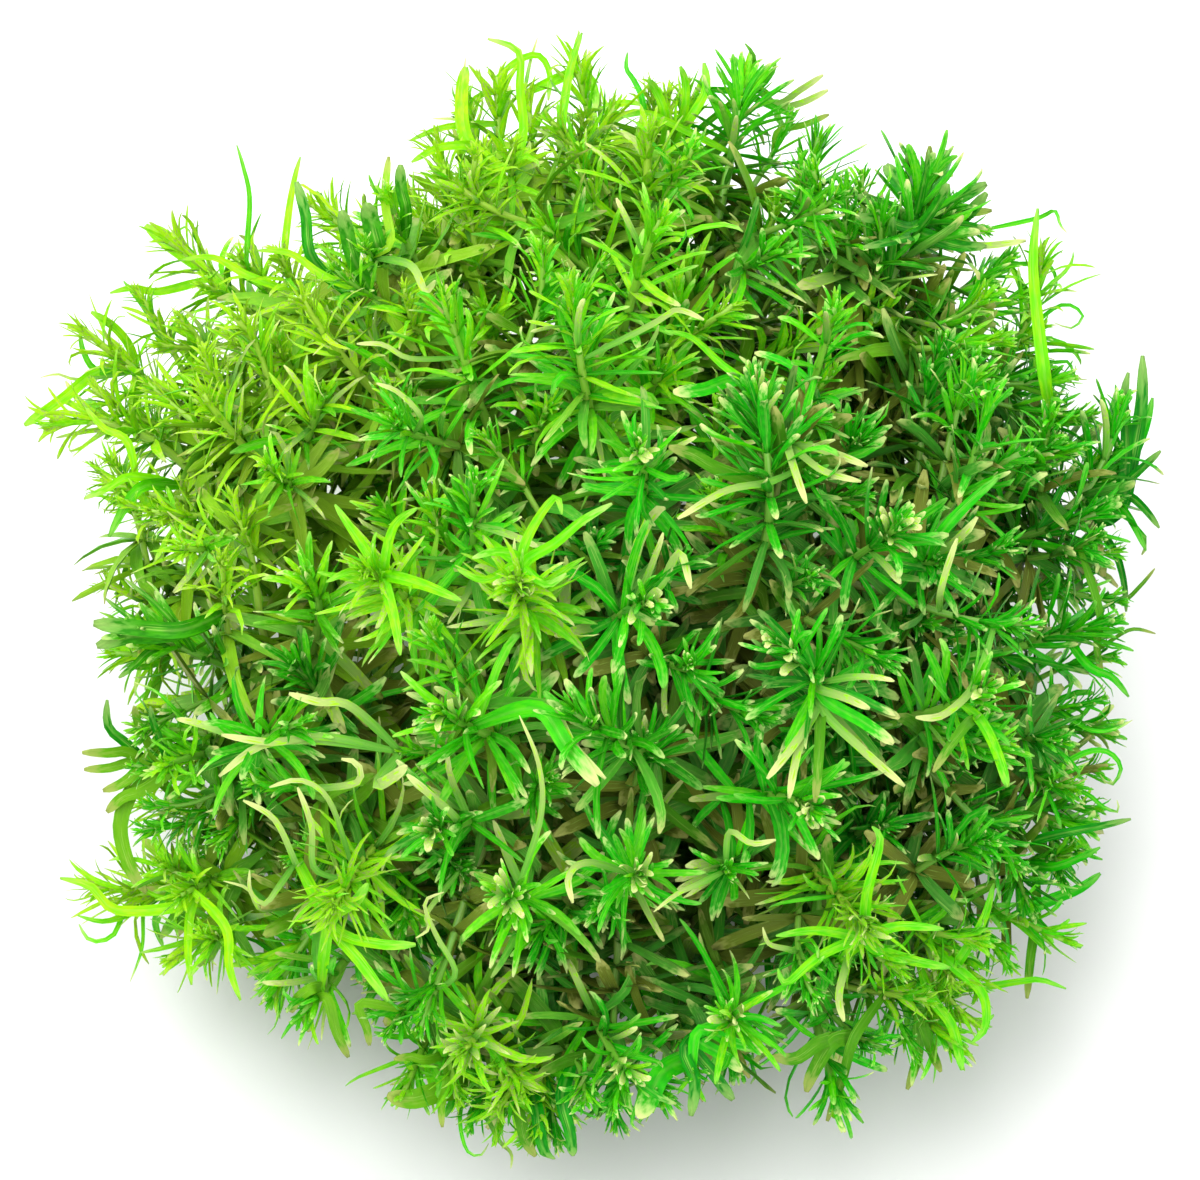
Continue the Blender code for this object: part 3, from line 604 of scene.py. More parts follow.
# How the leaves change from the bud down
LEAF_PLACES = np.array((0.0, 1.5, 3.5, 6.2, 9.0, 11.7, 14.4, 17.1, 25.0)) * MM
LEAF_LENGTHS = np.array((1.6, 3.6, 6.0, 7.3, 7.9, 8.0, 7.8, 7.2, 6.6)) * MM
LEAF_RISES = (84.0, 76.0, 64.0, 47.0, 31.0, 18.0, 7.0, -2.0, -14.0)
LEAF_WIDTHS = np.array((0.50, 0.66, 0.86, 1.03, 1.12, 1.15, 1.15, 1.10, 1.05)) * MM
THICKNESS_SHARE = 0.17
CUP_SHARE = 0.20

# One leaf is a row of four-sided sections; STATIONS are their places along it
FINE_STATIONS = np.array((0.0, 0.15, 0.36, 0.58, 0.79, 0.93, 1.0))
COARSE_STATIONS = np.array((0.0, 0.25, 0.55, 0.85, 1.0))
CORNERS = 4
CORNER_SIDES = (-1.0, 0.0, 1.0, 0.0)
STEM_SIDES = 6
STEM_STEP = 1.6 * MM
STEM_RADIUS = 0.50 * MM
TIP_RADIUS = 0.28 * MM
NODE_SWELL = 0.14
FLOOR_CLEARANCE = 0.12 * MM

# The share by which points beyond the CAD's box are drawn back to it
BOX_SQUEEZE = 0.8

# Leaves of the same tone and age share a strip of the piece's own map
TONE_STEPS = 12
AGE_STEPS = 4
MAP_ROWS = 2
STEM_ROW = 0.5

# Values that every point carries: its places along and across, tone, age, and 1 for stems
LEAF_VALUES = ("along", "across", "tone", "age")
VALUE_NAMES = (*LEAF_VALUES, "woody")

# Colours of the leaves of each slot by tone, the first two cream
TONE_PLACES = (0.0, 0.075, 0.11, 0.30, 0.6, 1.0)
CREAM_COLOUR = (0.42, 0.54, 0.15)
GREENS = {
    "lime_leaf": ((0.54, 0.90, 0.008), (0.30, 0.84, 0.003), (0.09, 0.58, 0.002), (0.025, 0.24, 0.003)),
    "green_leaf": ((0.42, 0.84, 0.006), (0.19, 0.76, 0.003), (0.04, 0.57, 0.002), (0.010, 0.23, 0.004)),
    "deep_leaf": ((0.38, 0.82, 0.006), (0.13, 0.73, 0.003), (0.018, 0.54, 0.002), (0.004, 0.22, 0.006)),
}
OLD_COLOURS = {
    "lime_leaf": (0.30, 0.50, 0.02), "green_leaf": (0.16, 0.31, 0.012), "deep_leaf": (0.08, 0.17, 0.01),
}
PALE_BASE = (0.10, 0.42, 0.03)
STRIP_TINT = (0.55, 0.60, 0.50)
STREAK_TINT = (0.75, 0.95, 0.25)
MIDRIB_COLOUR = (0.55, 0.80, 0.18)
TEAL_COLOUR = (0.13, 0.36, 0.075)
BROWN_COLOUR = (0.19, 0.17, 0.028)
# The colour of painted highlight streaks, the glint of wet leaves
PAINTED_HIGHLIGHT_STREAK = (0.55, 0.85, 0.16)
# Tips of young leaves, partly real pale tips and partly painted highlight specks, and of old ones
TIP_COLOUR = (0.72, 0.84, 0.30)
OLD_TIP_COLOUR = (0.40, 0.42, 0.11)

# Colours of the stems by tone, and old and streaked ones
STEM_TONES = ((0.0, (0.42, 0.66, 0.04)), (0.5, (0.16, 0.46, 0.03)), (1.0, (0.06, 0.26, 0.02)))
OLD_STEM_COLOUR = (0.22, 0.20, 0.06)
STEM_GRAIN_COLOUR = (0.40, 0.42, 0.12)

# The studio: half the floor's side, its colour, and each light's place, size and power
FLOOR_HALF = 4.0
FLOOR_COLOUR = (0.88, 0.88, 0.88, 1.0)
FLOOR_ROUGHNESS = 0.9
WORLD_STRENGTH = 0.88
LIGHTS = (
    ("key", (-0.22, -0.14, 0.68), 0.65, 3.5),
    ("fill", (0.40, -0.45, 0.45), 0.5, 1.3),
    ("back", (-0.05, 0.50, 0.50), 0.6, 2.9),
)
CLIP_DISTANCES = (0.01, 20.0)


def mound_scale(above):
    """Half the mound's width and depth, and its rise above or drop below its widest level."""
    return Vector((MOUND_HALF_WIDTH, MOUND_HALF_DEPTH, MOUND_RISE if above else MOUND_DROP))


def divided(vector, scale):
    return Vector((vector.x / scale.x, vector.y / scale.y, vector.z / scale.z))


def mound_normal(point):
    offset = point - MOUND_MIDDLE
    scale = mound_scale(offset.z >= 0.0)
    return divided(divided(offset, scale), scale).normalized()


def seen_bud(right, up):
    """The point of the mound that is seen at a place, or the nearest one beside it."""
    target = SEEN_MIDDLE + Vector((right * MM, 0.0, 0.0)) + SEEN_UP * (up * MM)
    ray = (target - EYE).normalized()
    for above in (True, False):
        scale = mound_scale(above)
        start = divided(EYE - MOUND_MIDDLE, scale)
        step = divided(ray, scale)
        nearest = -start.dot(step) / step.dot(step)
        miss = (start + step * nearest).length
        into = math.sqrt(max(1.0 - miss * miss, 0.0)) / step.length
        point = EYE + ray * (nearest - into)
        if (point.z >= WIDEST_LEVEL) == above:
            break
    return point


def golden_points(count):
    """Evenly spread points on the whole mound, from the crown down."""
    points = []
    for index in range(count):
        height = 1.0 - 2.0 * (index + 0.5) / count
        around = math.sqrt(1.0 - height * height)
        angle = index * GOLDEN_ANGLE
        direction = Vector((around * math.cos(angle), around * math.sin(angle), height))
        scale = mound_scale(height >= 0.0)
        point = MOUND_MIDDLE + Vector(a * b for a, b in zip(direction, scale))
        if point.z >= LOWEST_BUD_LEVEL:
            points.append(point)
    return points


def with_open_places(points, candidates, spacing):
    """Given points, then even ones wherever the mound is still open."""
    points = list(points)
    for point in golden_points(candidates):
        if all((point - other).length > spacing for other in points):
            points.append(point)
    return points


def bud_points():
    """All buds: those that are seen, then the others."""
    seen = [seen_bud(right, up) for right, up, _ in SEEN_BUDS.values()]
    return with_open_places(seen, HIDDEN_CANDIDATES, BUD_SPACING)


def pair_buds(buds):
    """Pairs of near buds share a forked stem. Returns (stem bud, side bud or None) indexes."""
    gaps = []
    for first in range(len(buds)):
        for second in range(first + 1, len(buds)):
            gap = (buds[first] - buds[second]).length
            if gap < FORK_REACH:
                gaps.append((gap, first, second))
    partner = {}
    for gap, first, second in sorted(gaps):
        if first not in partner and second not in partner and len(partner) < 2 * FORK_LIMIT:
            partner[first] = second
            partner[second] = first
    stems = []
    for index in range(len(buds)):
        other = partner.get(index)
        if other is None:
            stems.append((index, None))
        elif index < other:
            stems.append((index, other))
    return stems


def growth_direction(bud):
    return (mound_normal(bud) + Vector((0.0, 0.0, UPWARD_LEAN))).normalized()


def foot_points(buds):
    """Cut ends on the ground: crown stems in the middle, rim stems outside, none too near."""
    offsets = [divided(bud - MOUND_MIDDLE, mound_scale(bud.z >= WIDEST_LEVEL)) for bud in buds]
    order = sorted(range(len(buds)), key=lambda index: -offsets[index].normalized().z)
    feet = [None] * len(buds)
    for rank, index in enumerate(order):
        flat = Vector((offsets[index].x, offsets[index].y)).normalized()
        feet[index] = flat * (FOOT_RADIUS * math.sqrt((rank + 0.5) / len(buds)))
    for _ in range(FOOT_ROUNDS):
        for first in range(len(feet)):
            for second in range(first + 1, len(feet)):
                apart = feet[first] - feet[second]
                short = FOOT_SPACING - apart.length
                if short > 0.0:
                    push = apart.normalized() * (0.5 * short)
                    feet[first] += push
                    feet[second] -= push
    return [Vector((foot.x, foot.y, 0.0)) for foot in feet]


def bezier(points, place):
    rest = 1.0 - place
    weights = (rest ** 3, 3.0 * rest * rest * place, 3.0 * rest * place * place, place ** 3)
    total = Vector((0.0, 0.0, 0.0))
    for weight, point in zip(weights, points):
        total += point * weight
    return total


def curve_samples(start, start_direction, end, end_direction):
    """A smooth curve between two points that leaves and arrives in given directions."""
    span = (end - start).length
    controls = (
        start,
        start + start_direction * (span * ROOT_STRAIGHT),
        end - end_direction * (span * TIP_STRAIGHT),
        end,
    )
    return [bezier(controls, index / CURVE_SAMPLES) for index in range(CURVE_SAMPLES + 1)]


class Path:
    """A sampled curve that is read by length, with a frame that doesn't twist."""

    def __init__(self, samples):
        self.samples = samples
        self.lengths = [0.0]
        for before, after in zip(samples, samples[1:]):
            self.lengths.append(self.lengths[-1] + (after - before).length)
        self.total = self.lengths[-1]
        last = len(samples) - 1
        self.directions = [
            (samples[min(index + 1, last)] - samples[max(index - 1, 0)]).normalized()
            for index in range(last + 1)
        ]
        side = self.directions[0].orthogonal().normalized()
        self.sides = []
        for direction in self.directions:
            side = (side - direction * side.dot(direction)).normalized()
            self.sides.append(side)

    def frame(self, length):
        """Position, direction and side vector at a length from the start."""
        length = max(0.0, min(self.total, length))
        index = 0
        while index < len(self.lengths) - 2 and self.lengths[index + 1] < length:
            index += 1
        span = self.lengths[index + 1] - self.lengths[index]
        part = (length - self.lengths[index]) / span
        point = self.samples[index].lerp(self.samples[index + 1], part)
        direction = self.directions[index].lerp(self.directions[index + 1], part).normalized()
        side = self.sides[index].lerp(self.sides[index + 1], part)
        side = (side - direction * side.dot(direction)).normalized()
        return point, direction, side


class Growth:
    """The leaves and stem tubes of one cut stem, gathered before its mesh is made."""

    def __init__(self):
        self.fine_leaves = []
        self.coarse_leaves = []
        self.tubes = []
        self.strands = []

    def leaf(self, base, out, axis, length, width, rise, kind, draw, tone, age, curl=0.0, fine=True):
        """One leaf as a row of numbers, in the order in which leaf_arrays reads them."""
        sway = kind["sway"]
        leaves = self.fine_leaves if fine else self.coarse_leaves
        leaves.append((
            *base, *out, *axis, length, width, math.radians(rise),
            math.radians(draw.gauss(kind["bend"], BEND_SPREAD * sway)),
            math.radians(curl),
            math.radians(draw.gauss(0.0, sway)),
            math.radians(draw.gauss(0.0, TWIST_SPREAD * sway)),
            min(max(draw.gauss(kind["point"], POINT_SPREAD), 0.0), 1.0),
            tone, age,
        ))


def youth_of(point):
    """From about 1 at the young upper left of the bunch to -1 at its deep green right."""
    back = point.y / MOUND_HALF_DEPTH
    right = point.x / MOUND_HALF_WIDTH
    return YOUTH_BACK * back + YOUTH_CROWN * max(back, 0.0) - YOUTH_RIGHT * right


def hidden_kind(point, draw):
    youth = youth_of(point) + draw.uniform(-YOUTH_SPREAD, YOUTH_SPREAD)
    for least, kind_name in KIND_YOUTHS:
        if youth > least:
            return kind_name
    return "dull" if draw.random() < DULL_SHARE else "deep"


def at_place(place, values):
    return float(np.interp(place, LEAF_PLACES, values))


def stem_radius(path, length, thick):
    part = min(max((path.total - length) / LEAFY_LENGTH, 0.0), 1.0)
    return (TIP_RADIUS + (STEM_RADIUS - TIP_RADIUS) * part) * thick


def outward(axis, side, angle):
    """The direction out of a stem at an angle around it."""
    return side * math.cos(angle) + axis.cross(side) * math.sin(angle)


def grow_whorls(growth, path, kind, draw, whorls, size, tone, fine):
    """Whorls of leaves from the bud down."""
    phase = draw.uniform(0.0, math.tau)
    loose = kind["loose"] * draw.uniform(*LOOSE_SHARES)
    for index in range(whorls):
        below = WHORL_PLACES[index] * size
        place = path.total - below
        if place < 0.0:
            break
        point, axis, side = path.frame(place)
        is_open = index >= OPEN_WHORLS
        count = WHORL_COUNTS[index]
        phase += math.pi / count + draw.uniform(-PHASE_SPREAD, PHASE_SPREAD)
        radius = LEAF_ROOT * stem_radius(path, place, size)
        for leaf in range(count):
            if is_open and draw.random() < MISSING_SHARE:
                continue
            angle = phase + (leaf + draw.uniform(-0.5, 0.5) * loose) * math.tau / count
            out = outward(axis, side, angle)
            length = at_place(below, LEAF_LENGTHS) * kind["length"] * size
            length *= draw.triangular(*LENGTH_SHARES)
            width = at_place(below, LEAF_WIDTHS) * kind["width"] * size * draw.uniform(*WIDTH_SHARES)
            rise = at_place(below, LEAF_RISES) + draw.gauss(0.0, RISE_SPREAD * loose)
            curl = draw.choice((0.0, 0.0, 0.0, draw.uniform(*CURLS) * loose))
            age = (index - OPEN_WHORLS) / WHORLS_TO_OLD + draw.uniform(*AGE_SPREAD)
            age = min(max(age, 0.0), 1.0)
            shade = tone + TONE_PER_WHORL * index + TONE_AT_BUD + draw.gauss(0.0, TONE_SPREAD)
            shade = max(shade, PALEST)
            if is_open and draw.random() < CREAM_SHARE:
                shade = 0.0
            if is_open and draw.random() < STRAP_SHARE:
                length *= draw.uniform(*STRAP_LENGTHS)
                curl = draw.choice((-1.0, 1.0)) * draw.uniform(*STRAP_CURLS)
            shift = draw.uniform(-FOOT_SPREAD, FOOT_SPREAD) * MM * min(index / OPEN_WHORLS, 1.0)
            base = point + out * radius + axis * shift
            growth.leaf(base, out, axis, length, width, rise, kind, draw, shade, age, curl, fine)


def grow_old_leaves(growth, path, kind, draw, start, tone):
    """Sparse old leaves on the lower stem."""
    place = path.total - start - OLD_WHORL_SPACING
    while place > OLD_LOWEST:
        point, axis, side = path.frame(place)
        phase = draw.uniform(0.0, math.tau)
        for leaf in range(OLD_WHORL_COUNT):
            if draw.random() < OLD_MISSING_SHARE:
                continue
            turn = leaf + draw.uniform(-OLD_PHASE_SPREAD, OLD_PHASE_SPREAD)
            out = outward(axis, side, phase + turn * math.tau / OLD_WHORL_COUNT)
            length = OLD_LEAF_LENGTH * draw.uniform(*OLD_LENGTH_SHARES)
            width = OLD_LEAF_WIDTH * draw.uniform(*OLD_WIDTH_SHARES)
            rise = draw.uniform(*OLD_RISES)
            age = draw.uniform(*OLD_AGES)
            shade = 0.0
            if draw.random() >= CREAM_SHARE:
                shade = tone + OLD_TONE + draw.uniform(-OLD_TONE_SPREAD, OLD_TONE_SPREAD)
            growth.leaf(point, out, axis, length, width, rise, kind, draw, shade, age, 0.0, False)
        place -= OLD_WHORL_SPACING * draw.uniform(*OLD_WHORL_STEPS)


def grow_cream_tips(growth, path, kind, draw):
    """The youngest leaves of a bud, short and pale at their blunt ends."""
    for _ in range(CREAM_TIPS):
        point, axis, side = path.frame(path.total - draw.uniform(*CREAM_DEPTHS) * MM)
        out = outward(axis, side, draw.uniform(0.0, math.tau))
        length, width = draw.uniform(*CREAM_LENGTHS) * MM, draw.uniform(*CREAM_WIDTHS) * MM
        curl = draw.uniform(*CREAM_CURLS)
        growth.leaf(point, out, axis, length, width, draw.uniform(*CREAM_RISES), kind, draw, 0.0, 0.0, curl)


def grow_shoot(growth, path, kind, draw, whorls, size, fine):
    """A stem with its whorls and, below them, its old leaves."""
    tone = kind["tone"] + draw.uniform(-SHOOT_TONE_SPREAD, SHOOT_TONE_SPREAD)
    growth.tubes.append((path, size, tone))
    grow_whorls(growth, path, kind, draw, whorls, size, tone, fine)
    grow_old_leaves(growth, path, kind, draw, WHORL_PLACES[whorls - 1] * size, tone)


def leaning(direction, lean, draw):
    """The direction, tilted at random by about that much."""
    return (direction + Vector([draw.gauss(0.0, lean) for _ in range(3)])).normalized()


def seen_place(point):
    """How far right of the seen middle and above it a point shows."""
    offset = point - SEEN_MIDDLE
    scale = SEEN_DISTANCE / (SEEN_DISTANCE - offset.dot(TOWARD_EYE))
    return offset.x * scale, offset.dot(SEEN_UP) * scale


def in_any(point, discs):
    """Whether a point of the side that is seen shows in one of some discs."""
    if (point - MOUND_MIDDLE).dot(TOWARD_EYE) < 0.0:
        return False
    right, up = seen_place(point)
    return any(math.hypot(right - x * MM, up - y * MM) < radius * MM for x, y, radius in discs)


def leafy_end(name, solid_bud):
    """Where a shoot ends: a named one at its place in the photo, others drawn in at the rim."""
    if name:
        right, up, _ = SEEN_BUDS[name]
        more_right, more_up = SEEN_SHIFTS.get(name, (0.0, 0.0))
        return seen_bud(right + more_right, up + more_up)
    right, up = seen_place(solid_bud)
    if math.hypot(right / RIM_WIDTH, up / RIM_HEIGHT) < 1.0 or solid_bud.dot(TOWARD_EYE) < 0.0:
        return solid_bud
    return MOUND_MIDDLE + (solid_bud - MOUND_MIDDLE) * RIM_DRAW


def leafy_direction(name, end):
    """The way in which a shoot arrives at its end."""
    if name in PLUMES:
        along = (end - seen_bud(*PLUMES[name])).normalized()
        return (along + TOWARD_EYE * PLUME_RISE).normalized()
    if name in SEEN_LEANS:
        right, upward, near = SEEN_LEANS[name]
        return (Vector((right, 0.0, 0.0)) + SEEN_UP * upward + TOWARD_EYE * near).normalized()
    return growth_direction(end)


def leafy_buds(solid_buds, draw):
    """Name, end, direction and kind of every shoot. Those that aren't seen have no name."""
    names = list(SEEN_BUDS) + [""] * (len(solid_buds) - len(SEEN_BUDS))
    buds = []
    for name, solid_bud in zip(names, solid_buds):
        end = leafy_end(name, solid_bud)
        kind_name = SEEN_BUDS[name][2] if name else hidden_kind(end, draw)
        buds.append((name, end, leafy_direction(name, end), kind_name))
    return buds


def grow_bud(growth, path, name, kind_name, draw, whorls, size):
    """A shoot with a bud, which some have denser or with cream tips."""
    kind = KINDS[kind_name]
    grow_shoot(growth, path, kind, draw, whorls, size, True)
    if name in DENSE_BUDS:
        grow_whorls(growth, path, kind, draw, whorls, size, kind["tone"], True)
    if name in CREAM_BUDS:
        grow_cream_tips(growth, path, kind, draw)


def grow_stem(growth, foot, bud, draw):
    """A stem from its cut end to its bud. Returns its path."""
    name, end, direction, kind_name = bud
    heading = leaning(direction, PLUME_LEAN if name in PLUMES else BUD_LEAN, draw)
    path = Path(curve_samples(foot, UPWARD, end, heading))
    size = draw.uniform(*(SEEN_SIZES if name else HIDDEN_SIZES))
    grow_bud(growth, path, name, kind_name, draw, len(WHORL_PLACES), size)
    return path


def grow_side_shoot(growth, stem_path, bud, draw):
    """The side shoot of a forked stem, from its lower part to its own bud."""
    name, end, direction, kind_name = bud
    start, along, _ = stem_path.frame(0.5 * (stem_path.total - LEAFY_LENGTH))
    away = end - start
    away = (away - along * away.dot(along)).normalized()
    heading = leaning(direction, PLUME_LEAN if name in PLUMES else BUD_LEAN, draw)
    path = Path(curve_samples(start, (away + UPWARD * FORK_LIFT).normalized(), end, heading))
    grow_bud(growth, path, name, kind_name, draw, len(WHORL_PLACES) - 1, SIDE_SHOOT_SIZE)


def nearest_stem(paths, point):
    """The stem, and the length along it, from which a filler shoot can best reach a point."""
    best = (math.inf, 0, 0.0)
    for index, path in enumerate(paths):
        for sample, length in zip(path.samples, path.lengths):
            if BRANCH_LOWEST < length < path.total - BRANCH_BELOW_BUD:
                best = min(best, ((sample - point).length, index, length))
    return best[1], best[2]


def grow_filler(growths, paths, tip, kind_name, size, direction, draw):
    """A small side shoot on the stem that best reaches its tip."""
    index, length = nearest_stem(paths, tip - direction * FILLER_STEM)
    start, along, _ = paths[index].frame(length)
    begin = (along * BRANCH_ALONG + (tip - start).normalized()).normalized()
    path = Path(curve_samples(start, begin, tip, direction))
    grow_shoot(growths[index], path, KINDS[kind_name], draw, FILLER_WHORLS, size, False)


def grow_fillers(growths, paths, ends, draw):
    """Small side shoots between the buds, all over the mound and deeper in its valleys."""
    for point in with_open_places(ends, FILLER_CANDIDATES, FILLER_SPACING)[len(ends):]:
        deep = in_any(point, VALLEYS)
        depth = draw.uniform(*(VALLEY_DEPTHS if deep else FILLER_DEPTHS))
        direction = leaning(growth_direction(point), FILLER_LEAN, draw)
        tip = MOUND_MIDDLE + (point - MOUND_MIDDLE) * depth
        size = FILLER_SIZE * draw.uniform(*FILLER_SIZES) * (DEEP_SIZE if deep else 1.0)
        kind_name = hidden_kind(point, draw)
        # In the valleys low in the view the fillers take the deepest green, painted shade; higher up a
        # fresher green
        if deep:
            kind_name = "fresh" if seen_place(point)[1] > BRIGHT_VALLEYS_FROM else "shade"
        if not in_any(point, NOTCHES):
            grow_filler(growths, paths, tip, kind_name, size, direction, draw)


def grow_rim(growths, paths, draw):
    """Small side shoots at their own places on the rim."""
    for right, up, kind_name, size in RIM_SHOOTS:
        tip = seen_bud(right, up)
        direction = leaning(growth_direction(tip), FILLER_LEAN, draw)
        grow_filler(growths, paths, tip, kind_name, size, direction, draw)


def level_points(points):
    """The same places as seen, each at most a little deeper or nearer than the one before."""
    levelled = [points[0]]
    for point in points[1:]:
        step = point - levelled[-1]
        nearer = step.dot(TOWARD_EYE)
        limit = STRAND_SLOPE * (step - TOWARD_EYE * nearer).length
        excess = nearer - min(max(nearer, -limit), limit)
        levelled.append(point + (point - EYE).normalized() * excess)
    return levelled


def strand_points(places, draw):
    """The points of a single leaf on the mound, from its base to its tip."""
    right, up = places[-1]
    at_rim = math.hypot(right / STRAND_RIM[0], up / STRAND_RIM[1]) > 1.0
    spread = draw.uniform(*STRAND_SPREAD) * MM if at_rim else 0.0
    lifts = np.linspace(STRAND_LIFTS[0], STRAND_LIFTS[1] + spread, len(places))
    points = level_points([seen_bud(right, up) for right, up in places])
    return [point + TOWARD_EYE * float(lift) for point, lift in zip(points, lifts)]


def grow_strands(growths, draw):
    """Single leaves and threads, each from the nearest place on a stem."""
    owners, samples = [], []
    for growth in growths:
        for path, _, _ in growth.tubes:
            samples += [tuple(sample) for sample in path.samples]
            owners += [growth] * len(path.samples)
    samples = np.array(samples)
    for look, width, *places in STRANDS:
        points = strand_points(list(zip(places[::2], places[1::2])), draw)
        heading = (points[1] - points[0]).normalized()
        target = points[0] - heading * STRAND_ROOT_BACK - TOWARD_EYE * STRAND_ROOT_DOWN
        nearest = int(np.argmin(np.linalg.norm(samples - np.array(target), axis=1)))
        points = [Vector(samples[nearest]), *points]
        owners[nearest].strands.append((points, width * MM, *LOOKS[look]))


def grow_all():
    """Every stem with its side shoots, leaves and fillers, in the order of the CAD nodes."""
    draw = random.Random(SEED)
    solid_buds = bud_points()
    buds = leafy_buds(solid_buds, draw)
    stems = pair_buds(solid_buds)
    feet = foot_points([solid_buds[first] for first, _ in stems])
    growths, paths = [], []
    for foot, (first, second) in zip(feet, stems):
        growth = Growth()
        path = grow_stem(growth, foot, buds[first], draw)
        if second is not None:
            grow_side_shoot(growth, path, buds[second], draw)
        growths.append(growth)
        paths.append(path)
    grow_fillers(growths, paths, [end for _, end, _, _ in buds], draw)
    grow_rim(growths, paths, draw)
    grow_strands(growths, draw)
    return growths


def unit(vectors):
    return vectors / np.linalg.norm(vectors, axis=-1, keepdims=True)


def step_middle(values, steps):
    """Values from 0 to 1, each moved to the middle of its step."""
    return (np.clip(np.floor(values * steps), 0, steps - 1) + 0.5) / steps


def leaf_width_profile(point, stations):
    """Share of the full width at each station, for every leaf: it widens from a narrow foot and
    stays wide up to a blunt tip, or narrows all along to a pointed one."""
    narrow = 0.55 + 0.45 * np.clip(stations / 0.28, 0.0, 1.0)
    end = np.clip((stations - 0.80) / 0.20, 0.0, 1.0)
    blunt = np.sqrt(np.clip(1.0 - 0.84 * end ** 2.4, 0.0, 1.0))
    pointed = 0.05 + 0.95 * np.clip(1.0 - stations ** 2.0, 0.0, 1.0) ** 0.85
    mix = point[:, None]
    return narrow * (blunt * (1.0 - mix) + pointed * mix)


def leaf_corners(middle, across, face_up, half):
    """The four corners of every section of a leaf, as a flat list of points."""
    cup = face_up * half * CUP_SHARE
    under = face_up * half * 2.0 * THICKNESS_SHARE
    corners = (middle - across * half + cup, middle, middle + across * half + cup, middle - under)
    return np.stack(corners, axis=-2).reshape(-1, 3)


def leaf_values(stations, tone, age):
    """The values that every corner of every leaf carries."""
    columns = {
        "along": stations[None, :, None],
        "across": np.array(CORNER_SIDES)[None, None, :],
        "tone": step_middle(tone, TONE_STEPS)[:, None, None],
        "age": step_middle(age, AGE_STEPS)[:, None, None],
        "woody": np.zeros((1, 1, 1)),
    }
    shape = (len(tone), len(stations), CORNERS)
    return {name: np.broadcast_to(column, shape).reshape(-1) for name, column in columns.items()}


def row_faces(rows, rings, sides):
    """Quads around and at both ends of rows of rings of points."""
    ring, corner = np.meshgrid(np.arange(rings - 1), np.arange(sides), indexing="ij")
    after = (corner + 1) % sides
    walls = np.stack([
        ring * sides + corner, ring * sides + after, (ring + 1) * sides + after, (ring + 1) * sides + corner
    ], axis=-1).reshape(-1, 4)
    first = np.array([(0, index + 2, index + 1, index) for index in range(1, sides - 2, 2)])
    ends = np.concatenate([first, first[:, ::-1] + (rings - 1) * sides])
    starts = (np.arange(rows) * rings * sides)[:, None, None]
    return np.concatenate([(starts + quads).reshape(-1, 4) for quads in (walls, ends)])


def leaf_arrays(leaves, stations):
    """Points, values and faces of many leaves."""
    rows = np.array(leaves)
    base, out, axis = (rows[:, None, first:first + 3] for first in (0, 3, 6))
    length, width, rise, bend, curl, sway, twist, point, tone, age = rows[:, 9:19].T
    side = np.cross(axis, out)
    place = stations[None, :]

    # The way of each leaf, which rises, curls at its end, sways sideways and sags with age
    late = np.clip((place - CURL_FROM) / (1.0 - CURL_FROM), 0.0, 1.0) ** 2
    angle = (rise[:, None] + bend[:, None] * place + curl[:, None] * late)[..., None]
    swing = (sway[:, None] * place ** 1.5)[..., None]
    ahead = out * np.cos(angle) + axis * np.sin(angle)
    sag = (SAG * (LEAST_SAG + age))[:, None, None] * place[..., None]
    tangent = unit(ahead * np.cos(swing) + side * np.sin(swing) + sag * np.array((0.0, 0.0, -1.0)))
    spans = (np.diff(stations)[None, :] * length[:, None])[..., None]
    steps = 0.5 * (tangent[:, 1:] + tangent[:, :-1]) * spans
    middle = np.concatenate([base, base + np.cumsum(steps, axis=1)], axis=1)

    # Its face, which twists around that way
    upward = -out * np.sin(angle) + axis * np.cos(angle)
    sideways = side * np.cos(swing) - ahead * np.sin(swing)
    turn = (twist[:, None] * place)[..., None]
    across = sideways * np.cos(turn) + upward * np.sin(turn)
    face_up = upward * np.cos(turn) - sideways * np.sin(turn)
    half = (0.5 * width[:, None] * leaf_width_profile(point, stations))[..., None]
    corners = leaf_corners(middle, across, face_up, half)
    return corners, leaf_values(stations, tone, age), row_faces(len(rows), len(stations), CORNERS)


def smooth_line(points, count):
    """Evenly spaced places on a smooth curve through given points."""
    knots = [points[0], *points, points[-1]]
    line = []
    for before, start, end, after in zip(knots, knots[1:], knots[2:], knots[3:]):
        for step in range(CURVE_STEPS):
            part = step / CURVE_STEPS
            line.append(0.5 * (
                start * 2.0 + (end - before) * part
                + (before * 2.0 - start * 5.0 + end * 4.0 - after) * part ** 2
                + (start * 3.0 - before - end * 3.0 + after) * part ** 3
            ))
    line = np.array(line + [points[-1]])
    lengths = np.concatenate([[0.0], np.cumsum(np.linalg.norm(np.diff(line, axis=0), axis=1))])
    places = np.linspace(0.0, lengths[-1], count)
    return np.stack([np.interp(places, lengths, line[:, column]) for column in range(3)], axis=1)


def strand_arrays(points, width, tone, age, point):
    """Points, values and faces of one leaf or thread, its face turned to the eye."""
    stations = np.linspace(0.0, 1.0, STRAND_STATIONS)
    middle = smooth_line(points, STRAND_STATIONS)
    tangent = unit(np.gradient(middle, axis=0))
    across = unit(np.cross(tangent, np.array(TOWARD_EYE)))
    half = (0.5 * width * leaf_width_profile(np.array([point]), stations)[0])[:, None]
    corners = leaf_corners(middle, across, np.cross(across, tangent), half)
    values = leaf_values(stations, np.array([tone]), np.array([age]))
    return corners, values, row_faces(1, STRAND_STATIONS, CORNERS)


